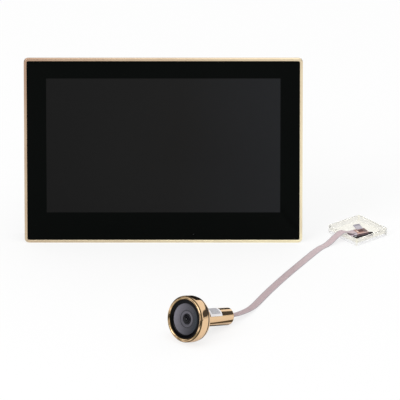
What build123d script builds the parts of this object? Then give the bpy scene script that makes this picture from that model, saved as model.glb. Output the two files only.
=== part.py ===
from build123d import *
import os
from math import atan2, cos, degrees, radians, sin, tan

os.makedirs("parts", exist_ok=True)

# Peephole door camera: an indoor monitor that stands on its bottom edge, and the outdoor
# camera that lies in front of it with its ribbon cable. Millimetres, +Z up. The origin is
# the centre of the monitor's foot, and its screen faces -Y.

# Monitor outline
monitor_width = 179.4
monitor_height = 129.6
monitor_depth = 17.0
corner_radius = 4.0
running_clearance = 0.1
cut_overrun = 1.0

# Gold rim and front glass
trim_face = 1.9
trim_depth = 1.8
trim_edge_radius = 0.5
trim_inner_chamfer = 0.3
glass_recess = 0.3
glass_thickness = 1.1
glass_gap = 0.1
adhesive_width = 6.0
mic_hole_radius = 0.6
mic_place = (19.4, 5.6)
led_side_margin = 9.1
led_top_margin = 15.8
led_place = (monitor_width / 2 - led_side_margin, monitor_height - led_top_margin)

# Display module, placed by the black margins around its active area
display_side_margin = 14.35
display_low_margin = 21.4
display_top_margin = 14.0
active_width = monitor_width - 2 * display_side_margin
active_height = monitor_height - display_low_margin - display_top_margin
display_height = display_low_margin + active_height / 2
panel_border = 2.0
panel_thickness = 1.2
guide_thickness = 2.0
guide_inset = 0.8
tray_wall = 0.3
tray_floor = 0.4
pocket_clearance = 0.4

# Middle frame
frame_inset = 0.6
frame_lip_depth = 1.4
frame_back_depth = 6.0
frame_top_drop = 5.6
frame_fit = 0.1
frame_post_radius = 2.5

# Back cover
cover_wall = 2.0
cover_top_inset = 0.8
cover_back_top_inset = 9.0
cover_edge_radius = 2.0

# Positions along the monitor's depth, counted back from the front of its rim
glass_front = glass_recess
glass_back = glass_front + glass_thickness
panel_back = glass_back + panel_thickness
guide_back = panel_back + guide_thickness
tray_back = guide_back + tray_floor
cover_front = trim_depth + frame_lip_depth
cover_inside = monitor_depth - cover_wall


def at_depth(depth):
    """The upright plane at a depth behind the rim's front, seen from the front."""
    origin = (0, depth - monitor_depth / 2, 0)
    return Plane(origin=origin, x_dir=(1, 0, 0), z_dir=(0, -1, 0))


def side_plane(x):
    """The upright plane across the width, with its X running back and its Y up."""
    return Plane(origin=(x, -monitor_depth / 2, 0), x_dir=(0, 1, 0), z_dir=(1, 0, 0))


def slab(front, back, size, centre, radius=0, mode=Mode.ADD):
    """A plate between two depths, with its width, height and centre seen from the front."""
    with BuildSketch(at_depth(back)) as outline:
        with Locations(centre):
            if radius > 0:
                RectangleRounded(size[0], size[1], radius)
            else:
                Rectangle(size[0], size[1])
    extrude(outline.sketch, amount=back - front, mode=mode)


def rods(front, back, radius, centres, mode=Mode.ADD):
    """Round rods or holes between two depths."""
    with BuildSketch(at_depth(back)) as outline:
        with Locations(*centres):
            Circle(radius)
    extrude(outline.sketch, amount=back - front, mode=mode)


def corners(half_width, low, high):
    """The four corners of an upright rectangle about the middle of the width."""
    return [(x, z) for x in (-half_width, half_width) for z in (low, high)]


monitor_centre = (0, monitor_height / 2)
display_centre = (0, display_height)

# Gold rim
window_width = monitor_width - 2 * trim_face
window_height = monitor_height - 2 * trim_face
with BuildPart() as trim_frame:
    slab(0, trim_depth, (monitor_width, monitor_height), monitor_centre, corner_radius)
    rim_edges = trim_frame.faces().sort_by(Axis.Y)[0].edges()
    fillet(rim_edges, trim_edge_radius)
    slab(-cut_overrun, trim_depth + cut_overrun, (window_width, window_height), monitor_centre,
         corner_radius - trim_face, mode=Mode.SUBTRACT)
    inner_edges = trim_frame.faces().sort_by(Axis.Y)[0].inner_wires()[0].edges()
    chamfer(inner_edges, trim_inner_chamfer)
trim_frame.part.label = "trim_frame"
export_step(trim_frame.part, "parts/trim_frame.step")

# Black front glass, with the small hole of the microphone
glass_size = (window_width - 2 * glass_gap, window_height - 2 * glass_gap)
glass_radius = corner_radius - trim_face - glass_gap
with BuildPart() as cover_glass:
    slab(glass_front, glass_back, glass_size, monitor_centre, glass_radius)
    rods(glass_front - cut_overrun, glass_back + cut_overrun, mic_hole_radius, [mic_place],
         mode=Mode.SUBTRACT)
cover_glass.part.label = "cover_glass"
export_step(cover_glass.part, "parts/cover_glass.step")

# Adhesive frame that holds the glass on the middle frame
adhesive_relief = 0.8
with BuildPart() as glass_adhesive:
    slab(glass_back, trim_depth, glass_size, monitor_centre, glass_radius)
    inside = (glass_size[0] - 2 * adhesive_width, glass_size[1] - 2 * adhesive_width)
    slab(glass_back - cut_overrun, trim_depth + cut_overrun, inside, monitor_centre,
         mode=Mode.SUBTRACT)
    rods(glass_back - cut_overrun, trim_depth + cut_overrun, mic_hole_radius + adhesive_relief,
         [mic_place], mode=Mode.SUBTRACT)
glass_adhesive.part.label = "glass_adhesive"
export_step(glass_adhesive.part, "parts/glass_adhesive.step")

# Display panel, bonded to the back of the glass
panel_size = (active_width + 2 * panel_border, active_height + 2 * panel_border)
with BuildPart() as lcd_panel:
    slab(glass_back, panel_back, panel_size, display_centre)
lcd_panel.part.label = "lcd_panel"
export_step(lcd_panel.part, "parts/lcd_panel.step")

# Light guide behind the panel
guide_size = (panel_size[0] - guide_inset, panel_size[1] - guide_inset)
with BuildPart() as light_guide:
    slab(panel_back, guide_back, guide_size, display_centre)
light_guide.part.label = "light_guide"
export_step(light_guide.part, "parts/light_guide.step")

# Steel tray that carries the light guide and the panel
with BuildPart() as backlight_tray:
    slab(panel_back, tray_back, panel_size, display_centre)
    hollow = (panel_size[0] - 2 * tray_wall, panel_size[1] - 2 * tray_wall)
    slab(panel_back - cut_overrun, guide_back, hollow, display_centre, mode=Mode.SUBTRACT)
backlight_tray.part.label = "backlight_tray"
export_step(backlight_tray.part, "parts/backlight_tray.step")

# Middle frame: the plastic chassis between the rim and the back cover
board_side_margin = 9.7
board_top_margin = 25.6
board_post_height = 2.0
board_left = -18.0
board_right = monitor_width / 2 - board_side_margin
board_low = 36.0
board_high = monitor_height - board_top_margin
board_front = frame_back_depth + board_post_height
board_thickness = 1.2
board_back = board_front + board_thickness
board_screw_inset = 4.0
board_screw_radius = 1.0
board_screw_head_radius = 1.9
board_screw_head = 0.9
cover_screw_side_margin = 7.7
cover_screw_top_margin = 21.6
cover_screw_side = monitor_width / 2 - cover_screw_side_margin
cover_screw_low = 10.0
cover_screw_high = monitor_height - cover_screw_top_margin
cover_screw_radius = 1.3
cover_screw_head_radius = 2.3
cover_screw_head = 1.4
cover_screw_bite = 2.5
flex_width = 28.0
flex_place = 30.0
flex_thickness = 0.15
flex_drop = 2.1
flex_slot_clearance = 0.7
mic_radius = 2.0
mic_depth = 1.5
led_radius = 1.5
led_depth = 1.6

frame_side = frame_inset + cover_wall + frame_fit
frame_block_low = cover_wall + frame_fit
frame_block_high = monitor_height - frame_top_drop
frame_block_size = (monitor_width - 2 * frame_side, frame_block_high - frame_block_low)
frame_block_centre = (0, (frame_block_high + frame_block_low) / 2)
pocket_size = (panel_size[0] + 2 * pocket_clearance, panel_size[1] + 2 * pocket_clearance)
panel_low = display_height - panel_size[1] / 2
flex_level = panel_low - flex_drop
board_screws_at = [(x, z)
                   for x in (board_left + board_screw_inset, board_right - board_screw_inset)
                   for z in (board_low + board_screw_inset, board_high - board_screw_inset)]
cover_screws_at = corners(cover_screw_side, cover_screw_low, cover_screw_high)
with BuildPart() as mid_frame:
    slab(trim_depth, cover_front, (monitor_width - 2 * frame_inset, monitor_height - 2 * frame_inset),
         monitor_centre, corner_radius - frame_inset)
    slab(cover_front, frame_back_depth, frame_block_size, frame_block_centre)
    rods(frame_back_depth, board_front, frame_post_radius, board_screws_at)
    slab(trim_depth - cut_overrun, tray_back, pocket_size, display_centre, mode=Mode.SUBTRACT)
    slab(trim_depth - cut_overrun, frame_back_depth + cut_overrun,
         (flex_width + 2 * flex_slot_clearance, 2 * (flex_drop + flex_slot_clearance)),
         (flex_place, panel_low), mode=Mode.SUBTRACT)
    rods(frame_back_depth - cover_screw_bite, frame_back_depth + cut_overrun, cover_screw_radius,
         cover_screws_at, mode=Mode.SUBTRACT)
    rods(frame_back_depth, board_front + cut_overrun, board_screw_radius, board_screws_at,
         mode=Mode.SUBTRACT)
    rods(trim_depth - cut_overrun, trim_depth + mic_depth, mic_radius + running_clearance,
         [mic_place], mode=Mode.SUBTRACT)
    rods(trim_depth - cut_overrun, trim_depth + led_depth, led_radius + running_clearance,
         [led_place], mode=Mode.SUBTRACT)
mid_frame.part.label = "mid_frame"
export_step(mid_frame.part, "parts/mid_frame.step")

with BuildPart() as microphone:
    rods(trim_depth, trim_depth + mic_depth, mic_radius, [mic_place])
microphone.part.label = "microphone"
export_step(microphone.part, "parts/microphone.step")

with BuildPart() as status_led:
    rods(trim_depth, trim_depth + led_depth, led_radius, [led_place])
status_led.part.label = "status_led"
export_step(status_led.part, "parts/status_led.step")

# Display flex: under the panel, back through the middle frame, up the face of the board
flex_board_lap = 4.0
flex_front = glass_back + running_clearance / 2
with BuildPart() as lcd_flex:
    with BuildSketch(side_plane(flex_place)):
        with BuildLine():
            Polyline([
                (flex_front, panel_low),
                (flex_front, flex_level),
                (board_front, flex_level),
                (board_front, board_low + flex_board_lap),
                (board_front - flex_thickness, board_low + flex_board_lap),
                (board_front - flex_thickness, flex_level + flex_thickness),
                (flex_front + flex_thickness, flex_level + flex_thickness),
                (flex_front + flex_thickness, panel_low),
            ], close=True)
        make_face()
    extrude(amount=flex_width / 2, both=True)
lcd_flex.part.label = "lcd_flex"
export_step(lcd_flex.part, "parts/lcd_flex.step")

# Main board and what is soldered to its back
board_size = (board_right - board_left, board_high - board_low)
board_centre = ((board_right + board_left) / 2, (board_high + board_low) / 2)
with BuildPart() as main_board:
    slab(board_front, board_back, board_size, board_centre)
    rods(board_front - cut_overrun, board_back + cut_overrun, board_screw_radius,
         board_screws_at, mode=Mode.SUBTRACT)
main_board.part.label = "main_board"
export_step(main_board.part, "parts/main_board.step")

with BuildPart() as board_screws:
    rods(frame_back_depth, board_back, board_screw_radius, board_screws_at)
    rods(board_back, board_back + board_screw_head, board_screw_head_radius, board_screws_at)
board_screws.part.label = "board_screws"
export_step(board_screws.part, "parts/board_screws.step")

chip_size = (12.0, 12.0)
chip_thickness = 1.0
chip_margin = 14.0
chip_level = board_low + chip_margin
chip_places = [(26.0, chip_level), (44.0, chip_level)]
with BuildPart() as board_chips:
    for place in chip_places:
        slab(board_back, board_back + chip_thickness, chip_size, place)
board_chips.part.label = "board_chips"
export_step(board_chips.part, "parts/board_chips.step")

bracket_low_margin = 40.0
bracket_top_margin = 29.6
bracket_centre = (0, (monitor_height - bracket_top_margin + bracket_low_margin) / 2)
socket_centre = bracket_centre
can_width = 30.0
can_place = 17.0
can_margin = 5.0
can_low = socket_centre[1] + can_margin
can_size = (can_width, board_high - can_margin - can_low)
can_centre = (can_place, can_low + can_size[1] / 2)
can_height = 2.0
can_wall = 0.3
with BuildPart() as shield_can:
    slab(board_back, board_back + can_height, can_size, can_centre)
    can_hollow = (can_size[0] - 2 * can_wall, can_size[1] - 2 * can_wall)
    slab(board_back - cut_overrun, board_back + can_height - can_wall, can_hollow, can_centre,
         mode=Mode.SUBTRACT)
shield_can.part.label = "shield_can"
export_step(shield_can.part, "parts/shield_can.step")

# Socket that the camera's ribbon plugs into, under the window in the back cover
socket_size = (14.0, 5.0)
socket_height = 2.2
socket_slot = (11.6, 2.6)
socket_slot_depth = 1.4
with BuildPart() as camera_socket:
    slab(board_back, board_back + socket_height, socket_size, socket_centre)
    slab(board_back + socket_height - socket_slot_depth, board_back + socket_height + cut_overrun,
         socket_slot, socket_centre, mode=Mode.SUBTRACT)
camera_socket.part.label = "camera_socket"
export_step(camera_socket.part, "parts/camera_socket.step")

# Power switch at the board's right edge. It, the card socket and the charging socket each
# stand at a share of the board's height.
switch_share = 0.809
card_share = 0.485
usb_share = 0.206
switch_size = (4.0, 6.0)
switch_level = board_low + switch_share * (board_high - board_low)
switch_height = 3.0
with BuildPart() as power_switch:
    slab(board_back, board_back + switch_height, switch_size,
         (board_right - switch_size[0] / 2, switch_level))
power_switch.part.label = "power_switch"
export_step(power_switch.part, "parts/power_switch.step")

# Card socket at the same edge, open to the right, and the card in it
card_width = 11.0
card_length = 15.0
card_thickness = 1.0
card_level = board_low + card_share * (board_high - board_low)
card_end_inset = 0.4
card_socket_length = 12.0
card_socket_wall = 0.5
cover_side = monitor_width / 2 - frame_inset
card_end = cover_side - card_end_inset
card_front = board_back + card_socket_wall + running_clearance
card_back = card_front + card_thickness
card_centre = (card_end - card_length / 2, card_level)
card_bay = (card_width + 2 * running_clearance, card_thickness + 2 * running_clearance)
with BuildPart() as card_socket:
    slab(board_back, card_back + running_clearance + card_socket_wall,
         (card_socket_length, card_bay[0] + 2 * card_socket_wall),
         (board_right - card_socket_length / 2, card_level))
    bay_left = card_end - card_length - running_clearance
    slab(card_front - running_clearance, card_back + running_clearance,
         (board_right + cut_overrun - bay_left, card_bay[0]),
         ((board_right + cut_overrun + bay_left) / 2, card_level), mode=Mode.SUBTRACT)
card_socket.part.label = "card_socket"
export_step(card_socket.part, "parts/card_socket.step")

card_notch = 0.7
card_notch_length = 6.0
with BuildPart() as memory_card:
    slab(card_front, card_back, (card_length, card_width), card_centre)
    slab(card_front - cut_overrun, card_back + cut_overrun, (card_notch_length, 2 * card_notch),
         (card_end - card_length + card_notch_length / 2, card_level - card_width / 2),
         mode=Mode.SUBTRACT)
memory_card.part.label = "memory_card"
export_step(memory_card.part, "parts/memory_card.step")

# Charging socket
usb_length = 8.0
usb_width = 8.0
usb_height = 2.8
usb_wall = 0.35
usb_level = board_low + usb_share * (board_high - board_low)
usb_back_wall = 1.0
usb_tongue = (5.0, 5.0)
usb_tongue_thickness = 0.6
usb_right = cover_side - cover_wall
usb_centre = (usb_right - usb_length / 2, usb_level)
usb_middle = board_back + usb_height / 2
with BuildPart() as usb_socket:
    slab(board_back, board_back + usb_height, (usb_length, usb_width), usb_centre,
         usb_wall)
    slab(board_back + usb_wall, board_back + usb_height - usb_wall,
         (usb_length, usb_width - 2 * usb_wall),
         (usb_centre[0] + usb_back_wall, usb_level), mode=Mode.SUBTRACT)
    slab(usb_middle - usb_tongue_thickness / 2, usb_middle + usb_tongue_thickness / 2,
         usb_tongue, (usb_right - usb_length + usb_back_wall + usb_tongue[0] / 2, usb_level))
usb_socket.part.label = "usb_socket"
export_step(usb_socket.part, "parts/usb_socket.step")

# Battery, glued to the middle frame beside the board
battery_side_margin = 15.7
battery_low_margin = 26.0
battery_top_margin = 23.6
battery_gap = 6.0
battery_left = battery_side_margin - monitor_width / 2
battery_right = board_left - battery_gap
battery_top = monitor_height - battery_top_margin
battery_size = (battery_right - battery_left, battery_top - battery_low_margin)
battery_thickness = 4.2
battery_centre = ((battery_left + battery_right) / 2, (battery_top + battery_low_margin) / 2)
battery_radius = 2.0
with BuildPart() as battery_pack:
    slab(frame_back_depth, frame_back_depth + battery_thickness, battery_size, battery_centre,
         battery_radius)
battery_pack.part.label = "battery_pack"
export_step(battery_pack.part, "parts/battery_pack.step")

antenna_size = (30.0, 6.0)
antenna_thickness = 0.2
antenna_side_margin = 44.7
antenna_top_margin = 13.6
antenna_centre = (antenna_side_margin - monitor_width / 2, monitor_height - antenna_top_margin)
with BuildPart() as wifi_antenna:
    slab(frame_back_depth, frame_back_depth + antenna_thickness, antenna_size, antenna_centre)
wifi_antenna.part.label = "wifi_antenna"
export_step(wifi_antenna.part, "parts/wifi_antenna.step")

# Speaker against the grille
speaker_radius = 14.0
speaker_depth = 5.5
speaker_side_margin = 37.7
speaker_low_margin = 18.5
speaker_centre = (monitor_width / 2 - speaker_side_margin, speaker_low_margin)
speaker_magnet_radius = 9.0
speaker_magnet = 2.0
with BuildPart() as speaker:
    rods(cover_inside - speaker_depth + speaker_magnet, cover_inside, speaker_radius,
         [speaker_centre])
    rods(cover_inside - speaker_depth, cover_inside - speaker_depth + speaker_magnet,
         speaker_magnet_radius, [speaker_centre])
speaker.part.label = "speaker"
export_step(speaker.part, "parts/speaker.step")

# Wall bracket: a steel plate in a recess of the back cover, held by four hooks
bracket_size = (90.0, monitor_height - bracket_top_margin - bracket_low_margin)
bracket_thickness = 1.5
bracket_radius = 4.0
bracket_hole_radius = 15.0
bracket_screw_radius = 2.1
bracket_screw_inset = 10.0
bracket_screw_spacing = (bracket_size[0] - 2 * bracket_screw_inset,
                         bracket_size[1] - 2 * bracket_screw_inset)
bracket_clearance = 0.5
bracket_travel = 4.2
recess_depth = 3.4
recess_floor = 1.8
hook_width = 8.0
hook_thickness = 2.0
hook_rise = 3.2
hook_lip = 1.0
hook_side_margin = 7.0
hook_low_margin = 12.0
hook_top_margin = 8.0
hook_side = bracket_size[0] / 2 - hook_side_margin
hook_levels = (bracket_low_margin + hook_low_margin,
               monitor_height - bracket_top_margin - hook_top_margin)
hook_clearance = 0.2
slot_margin = 0.4

bracket_front = monitor_depth - bracket_thickness
recess_front = monitor_depth - recess_depth
recess_inside = recess_front - recess_floor
lip_back = recess_inside - hook_clearance
lip_front = lip_back - hook_lip
recess_low = bracket_centre[1] - bracket_size[1] / 2 - bracket_travel - bracket_clearance
recess_high = bracket_centre[1] + bracket_size[1] / 2 + bracket_clearance
recess_size = (bracket_size[0] + 2 * bracket_clearance, recess_high - recess_low)
recess_centre = (0, (recess_high + recess_low) / 2)
slot_height = hook_thickness + hook_clearance + bracket_travel + slot_margin
hook_columns = (-hook_side, hook_side)
with BuildPart() as wall_bracket:
    slab(bracket_front, monitor_depth, bracket_size, bracket_centre, bracket_radius)
    for side in hook_columns:
        for level in hook_levels:
            tab_low = level - hook_clearance - hook_thickness
            slab(lip_front, bracket_front, (hook_width, hook_thickness),
                 (side, tab_low + hook_thickness / 2))
            lip_height = hook_thickness + hook_rise
            slab(lip_front, lip_back, (hook_width, lip_height), (side, tab_low + lip_height / 2))
    rods(bracket_front - cut_overrun, monitor_depth + cut_overrun, bracket_hole_radius,
         [bracket_centre], mode=Mode.SUBTRACT)
    bracket_screws_at = corners(bracket_screw_spacing[0] / 2,
                                bracket_centre[1] - bracket_screw_spacing[1] / 2,
                                bracket_centre[1] + bracket_screw_spacing[1] / 2)
    rods(bracket_front - cut_overrun, monitor_depth + cut_overrun, bracket_screw_radius,
         bracket_screws_at, mode=Mode.SUBTRACT)
wall_bracket.part.label = "wall_bracket"
export_step(wall_bracket.part, "parts/wall_bracket.step")

# Power button in the right wall
button_length = 10.0
button_width = 3.4
button_proud = 0.6
button_travel = 0.5
button_flange = 0.9
button_flange_thickness = 1.0
button_stem = 2.4
button_radius = 1.2
button_depth = board_back + switch_height / 2
button_outer = cover_side + button_proud
button_seat = cover_side - cover_wall - running_clearance / 2
stem_end = board_right + button_travel + running_clearance
with BuildPart() as power_button:
    with BuildSketch(side_plane(button_seat)):
        with Locations((button_depth, switch_level)):
            RectangleRounded(button_width, button_length, button_radius)
    extrude(amount=button_outer - button_seat)
    with BuildSketch(side_plane(button_seat)):
        with Locations((button_depth, switch_level)):
            Rectangle(button_width + 2 * button_flange, button_length + 2 * button_flange)
    extrude(amount=-button_flange_thickness)
    with BuildSketch(side_plane(stem_end)):
        with Locations((button_depth, switch_level)):
            Rectangle(button_stem, button_stem)
    extrude(amount=button_seat - stem_end)
power_button.part.label = "power_button"
export_step(power_button.part, "parts/power_button.step")

# Back cover: its top slopes in towards the back, and its bottom is the flat foot
boss_radius = 3.2
boss_gap = 0.05
cover_screw_recess = 1.6
screw_hole_clearance = 0.15
recess_wall = 2.0
socket_window = (22.0, 14.0)
window_radius = 2.0
grille_hole_radius = 0.7
grille_rings = (0, 1, 2, 3)
grille_pitch = 3.2
grille_ring_count = 6
card_opening_clearance = 0.3
usb_opening_clearance = 0.5
cover_top = monitor_height - cover_top_inset
cover_back_top = monitor_height - cover_back_top_inset
slope_angle = atan2(cover_top - cover_back_top, monitor_depth - cover_front)
cover_top_wall = cover_wall / cos(slope_angle)
cover_width = 2 * cover_side


def cover_profile(back, low, drop):
    """The cover's side view from its front edge to a depth, as a closed outline."""
    top_at_back = cover_top - (back - cover_front) * tan(slope_angle) - drop
    return [(cover_front, low), (back, low), (back, top_at_back), (cover_front, cover_top - drop)]


def grille_places():
    """Rings of holes over the speaker, six more in each ring."""
    places = []
    for ring in grille_rings:
        count = max(1, grille_ring_count * ring)
        for index in range(count):
            turn = radians(360 * index / count)
            places.append((speaker_centre[0] + ring * grille_pitch * cos(turn),
                           speaker_centre[1] + ring * grille_pitch * sin(turn)))
    return places


with BuildPart() as back_cover:
    with BuildSketch(side_plane(-cover_width / 2)):
        with BuildLine():
            Polyline(cover_profile(monitor_depth, 0, 0), close=True)
        make_face()
    extrude(amount=cover_width)
    slab(cover_front, monitor_depth, (cover_width, monitor_height), monitor_centre,
         corner_radius, mode=Mode.INTERSECT)
    fillet(back_cover.faces().sort_by(Axis.Y)[-1].edges(), cover_edge_radius)
    with BuildSketch(side_plane(-cover_width / 2 + cover_wall)):
        with BuildLine():
            Polyline(cover_profile(cover_inside, cover_wall, cover_top_wall), close=True)
        make_face()
    extrude(amount=cover_width - 2 * cover_wall, mode=Mode.SUBTRACT)
    slab(recess_inside, cover_inside + cut_overrun,
         (recess_size[0] + 2 * recess_wall, recess_size[1] + 2 * recess_wall), recess_centre)
    slab(recess_front, monitor_depth + cut_overrun, recess_size, recess_centre, bracket_radius,
         mode=Mode.SUBTRACT)
    slab(recess_inside - cut_overrun, recess_front + cut_overrun, socket_window, socket_centre,
         window_radius, mode=Mode.SUBTRACT)
    for side in hook_columns:
        for level in hook_levels:
            slab(recess_inside - cut_overrun, recess_front + cut_overrun,
                 (hook_width + 2 * slot_margin, slot_height), (side, level - slot_height / 2),
                 mode=Mode.SUBTRACT)
    rods(frame_back_depth + boss_gap, cover_inside + cut_overrun, boss_radius, cover_screws_at)
    rods(frame_back_depth, monitor_depth + cut_overrun,
         cover_screw_radius + screw_hole_clearance, cover_screws_at, mode=Mode.SUBTRACT)
    rods(monitor_depth - cover_screw_recess, monitor_depth + cut_overrun,
         cover_screw_head_radius + screw_hole_clearance, cover_screws_at, mode=Mode.SUBTRACT)
    rods(cover_inside - cut_overrun, monitor_depth + cut_overrun, grille_hole_radius,
         grille_places(), mode=Mode.SUBTRACT)
    with BuildSketch(side_plane(cover_side - cover_wall - cut_overrun)):
        with Locations((button_depth, switch_level)):
            RectangleRounded(button_width + 2 * running_clearance,
                             button_length + 2 * running_clearance,
                             button_radius + running_clearance)
        with Locations(((card_front + card_back) / 2, card_level)):
            Rectangle(card_thickness + 2 * card_opening_clearance,
                      card_width + 2 * card_opening_clearance)
        with Locations((usb_middle, usb_level)):
            RectangleRounded(usb_height + 2 * usb_opening_clearance,
                             usb_width + 2 * usb_opening_clearance, usb_opening_clearance)
    extrude(amount=cover_wall + 2 * cut_overrun, mode=Mode.SUBTRACT)
back_cover.part.label = "back_cover"
export_step(back_cover.part, "parts/back_cover.step")

screw_head_low = monitor_depth - cover_screw_recess
with BuildPart() as cover_screws:
    rods(frame_back_depth - cover_screw_bite, screw_head_low, cover_screw_radius, cover_screws_at)
    rods(screw_head_low, screw_head_low + cover_screw_head, cover_screw_head_radius,
         cover_screws_at)
cover_screws.part.label = "cover_screws"
export_step(cover_screws.part, "parts/cover_screws.step")

# Camera unit. Each piece is turned about one axis, and its sizes are radii and distances
# behind the front of the head.
head_radius = 15.0
head_round = 0.8
rim_radius = 14.0
rim_width = 0.9
rim_bevel = 0.5
rim_bevel_depth = 0.8
head_bore = 12.6
head_depth = 7.6
gasket_radius = 14.1
gasket_thickness = 0.5
plate_radius = 14.4
plate_thickness = 1.3
plate_round = 0.5
collar_wall = 1.0
collar_front = 4.4
barrel_radius = 5.7
barrel_bore = 4.7
barrel_end = 41.6
barrel_flange_radius = 6.7
barrel_flange = 0.7
spigot_radius = 5.0
turning_fit = 0.05
grommet_length = 2.8
grommet_inset = 0.2

# The head and the barrel's end rest on the floor, which tips the lens up.
rest_tilt = atan2(head_radius - barrel_radius, barrel_end - head_depth)
lens_height = (head_round + (head_radius - head_round) * cos(rest_tilt)
               + (head_depth - head_round) * sin(rest_tilt))
camera_place = (13.4, -163.3)
barrel_heading = 46.0
heading = radians(barrel_heading)
rearward = Vector(cos(heading) * cos(rest_tilt), sin(heading) * cos(rest_tilt), -sin(rest_tilt))
camera_front = Vector(camera_place[0], camera_place[1], lens_height)
camera_axis = Axis(origin=camera_front, direction=rearward)
across = Vector(sin(heading), -cos(heading), 0)
upward = Vector(cos(heading) * sin(rest_tilt), sin(heading) * sin(rest_tilt), cos(rest_tilt))


def turned(outline, mode=Mode.ADD):
    """A ring or disc turned from points of radius and distance behind the front."""
    profile_plane = Plane(origin=camera_front, x_dir=across, z_dir=across.cross(rearward))
    with BuildSketch(profile_plane) as profile:
        with BuildLine():
            Polyline(outline, close=True)
        make_face()
    revolve(profile.sketch, axis=camera_axis, mode=mode)


def ring(inner, outer, front, back, mode=Mode.ADD):
    """A plain ring, or a disc where its inner radius is zero."""
    turned([(inner, front), (outer, front), (outer, back), (inner, back)], mode)


def circle_edges(part, radius, behind):
    """The round edges of one radius at one distance behind the front."""
    centre = camera_front + rearward * behind
    return [edge for edge in part.edges().filter_by(GeomType.CIRCLE)
            if abs(edge.radius - radius) < edge_match
            and (edge.arc_center - centre).length < edge_match]


edge_match = turning_fit / 2
with BuildPart() as head_shell:
    bevel_end = rim_radius - rim_width - rim_bevel
    turned([
        (rim_radius, 0),
        (head_radius, head_radius - rim_radius),
        (head_radius, head_depth),
        (head_bore, head_depth),
        (bevel_end, rim_bevel_depth),
        (rim_radius - rim_width, 0),
    ])
    fillet(circle_edges(head_shell, head_radius, head_depth), head_round)
    fillet(circle_edges(head_shell, head_radius, head_radius - rim_radius), head_round)
head_shell.part.label = "head_shell"
export_step(head_shell.part, "parts/head_shell.step")

gasket_back = head_depth + gasket_thickness
plate_back = gasket_back + plate_thickness
collar_radius = head_bore - turning_fit
with BuildPart() as head_gasket:
    ring(collar_radius, gasket_radius, head_depth, gasket_back)
head_gasket.part.label = "head_gasket"
export_step(head_gasket.part, "parts/head_gasket.step")

with BuildPart() as rear_plate:
    turned([
        (spigot_radius + turning_fit, gasket_back),
        (collar_radius - collar_wall, gasket_back),
        (collar_radius - collar_wall, collar_front),
        (collar_radius, collar_front),
        (collar_radius, gasket_back),
        (plate_radius, gasket_back),
        (plate_radius, plate_back),
        (spigot_radius + turning_fit, plate_back),
    ])
    fillet(circle_edges(rear_plate, plate_radius, plate_back), plate_round)
rear_plate.part.label = "rear_plate"
export_step(rear_plate.part, "parts/rear_plate.step")

# Black ring, grey cone and lens
ring_front = 1.0
ring_inner = 10.1
ring_inner_depth = 1.5
cone_radius = 10.05
cone_front = 1.4
cone_flange_front = 3.0
cone_bottom = 2.6
cone_bore = 5.2
cone_step = 0.2
cone_step_radius = 6.4
seat_depth = 3.1
lens_bore = 3.6
with BuildPart() as black_ring:
    turned([
        (collar_radius, ring_front),
        (collar_radius, cone_flange_front),
        (ring_inner, cone_flange_front),
        (ring_inner, ring_inner_depth),
        (ring_inner + ring_inner_depth - ring_front, ring_front),
    ])
black_ring.part.label = "black_ring"
export_step(black_ring.part, "parts/black_ring.step")

with BuildPart() as lens_cone:
    turned([
        (cone_radius, cone_front),
        (cone_radius, cone_flange_front),
        (collar_radius, cone_flange_front),
        (collar_radius, collar_front),
        (lens_bore, collar_front),
        (lens_bore, seat_depth),
        (cone_bore, seat_depth),
        (cone_bore, cone_bottom),
        (cone_step_radius, cone_bottom),
        (cone_step_radius, cone_bottom - cone_step),
    ])
lens_cone.part.label = "lens_cone"
export_step(lens_cone.part, "parts/lens_cone.step")

with BuildPart() as lens_retainer:
    turned([
        (lens_bore, cone_bottom + cone_step),
        (cone_bore - turning_fit, cone_bottom),
        (cone_bore - turning_fit, seat_depth),
        (lens_bore, seat_depth),
    ])
lens_retainer.part.label = "lens_retainer"
export_step(lens_retainer.part, "parts/lens_retainer.step")

lens_radius = lens_bore - turning_fit
lens_crown = 0.7
lens_edge = cone_bottom + cone_step + running_clearance
profile_front = Plane(origin=camera_front, x_dir=across, z_dir=across.cross(rearward))
with BuildPart() as front_lens:
    with BuildSketch(profile_front):
        with BuildLine():
            ThreePointArc((-lens_radius, lens_edge), (0, lens_edge - lens_crown),
                          (lens_radius, lens_edge))
            Polyline((lens_radius, lens_edge), (lens_radius, collar_front),
                     (-lens_radius, collar_front), (-lens_radius, lens_edge))
        make_face()
        with Locations((-head_radius / 2, head_radius / 2)):
            Rectangle(head_radius, 2 * head_radius, mode=Mode.SUBTRACT)
    revolve(axis=camera_axis)
front_lens.part.label = "front_lens"
export_step(front_lens.part, "parts/front_lens.step")

board_depth = 7.1
housing_radius = 6.5
with BuildPart() as lens_housing:
    ring(lens_bore, housing_radius, collar_front, board_depth)
lens_housing.part.label = "lens_housing"
export_step(lens_housing.part, "parts/lens_housing.step")

inner_lens_thickness = 0.7
inner_lens_fronts = (4.6, 5.6)
with BuildPart() as inner_lenses:
    for front in inner_lens_fronts:
        ring(0, lens_radius, front, front + inner_lens_thickness)
inner_lenses.part.label = "inner_lenses"
export_step(inner_lenses.part, "parts/inner_lenses.step")

sensor_size = 4.4
sensor_thickness = 0.6
with BuildPart() as image_sensor:
    with BuildSketch(Plane(origin=camera_front + rearward * board_depth, x_dir=across,
                           z_dir=-rearward)):
        Rectangle(sensor_size, sensor_size)
    extrude(amount=sensor_thickness)
image_sensor.part.label = "image_sensor"
export_step(image_sensor.part, "parts/image_sensor.step")

with BuildPart() as sensor_board:
    ring(0, collar_radius - collar_wall - running_clearance, board_depth, gasket_back)
sensor_board.part.label = "sensor_board"
export_step(sensor_board.part, "parts/sensor_board.step")

# Barrel, with a shallow relief for the label patch
label_front = 19.4
label_length = 11.0
label_thickness = 0.1
label_half_angle = 42.0
label_turn = 25.0
spigot_front = gasket_back + running_clearance


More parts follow.
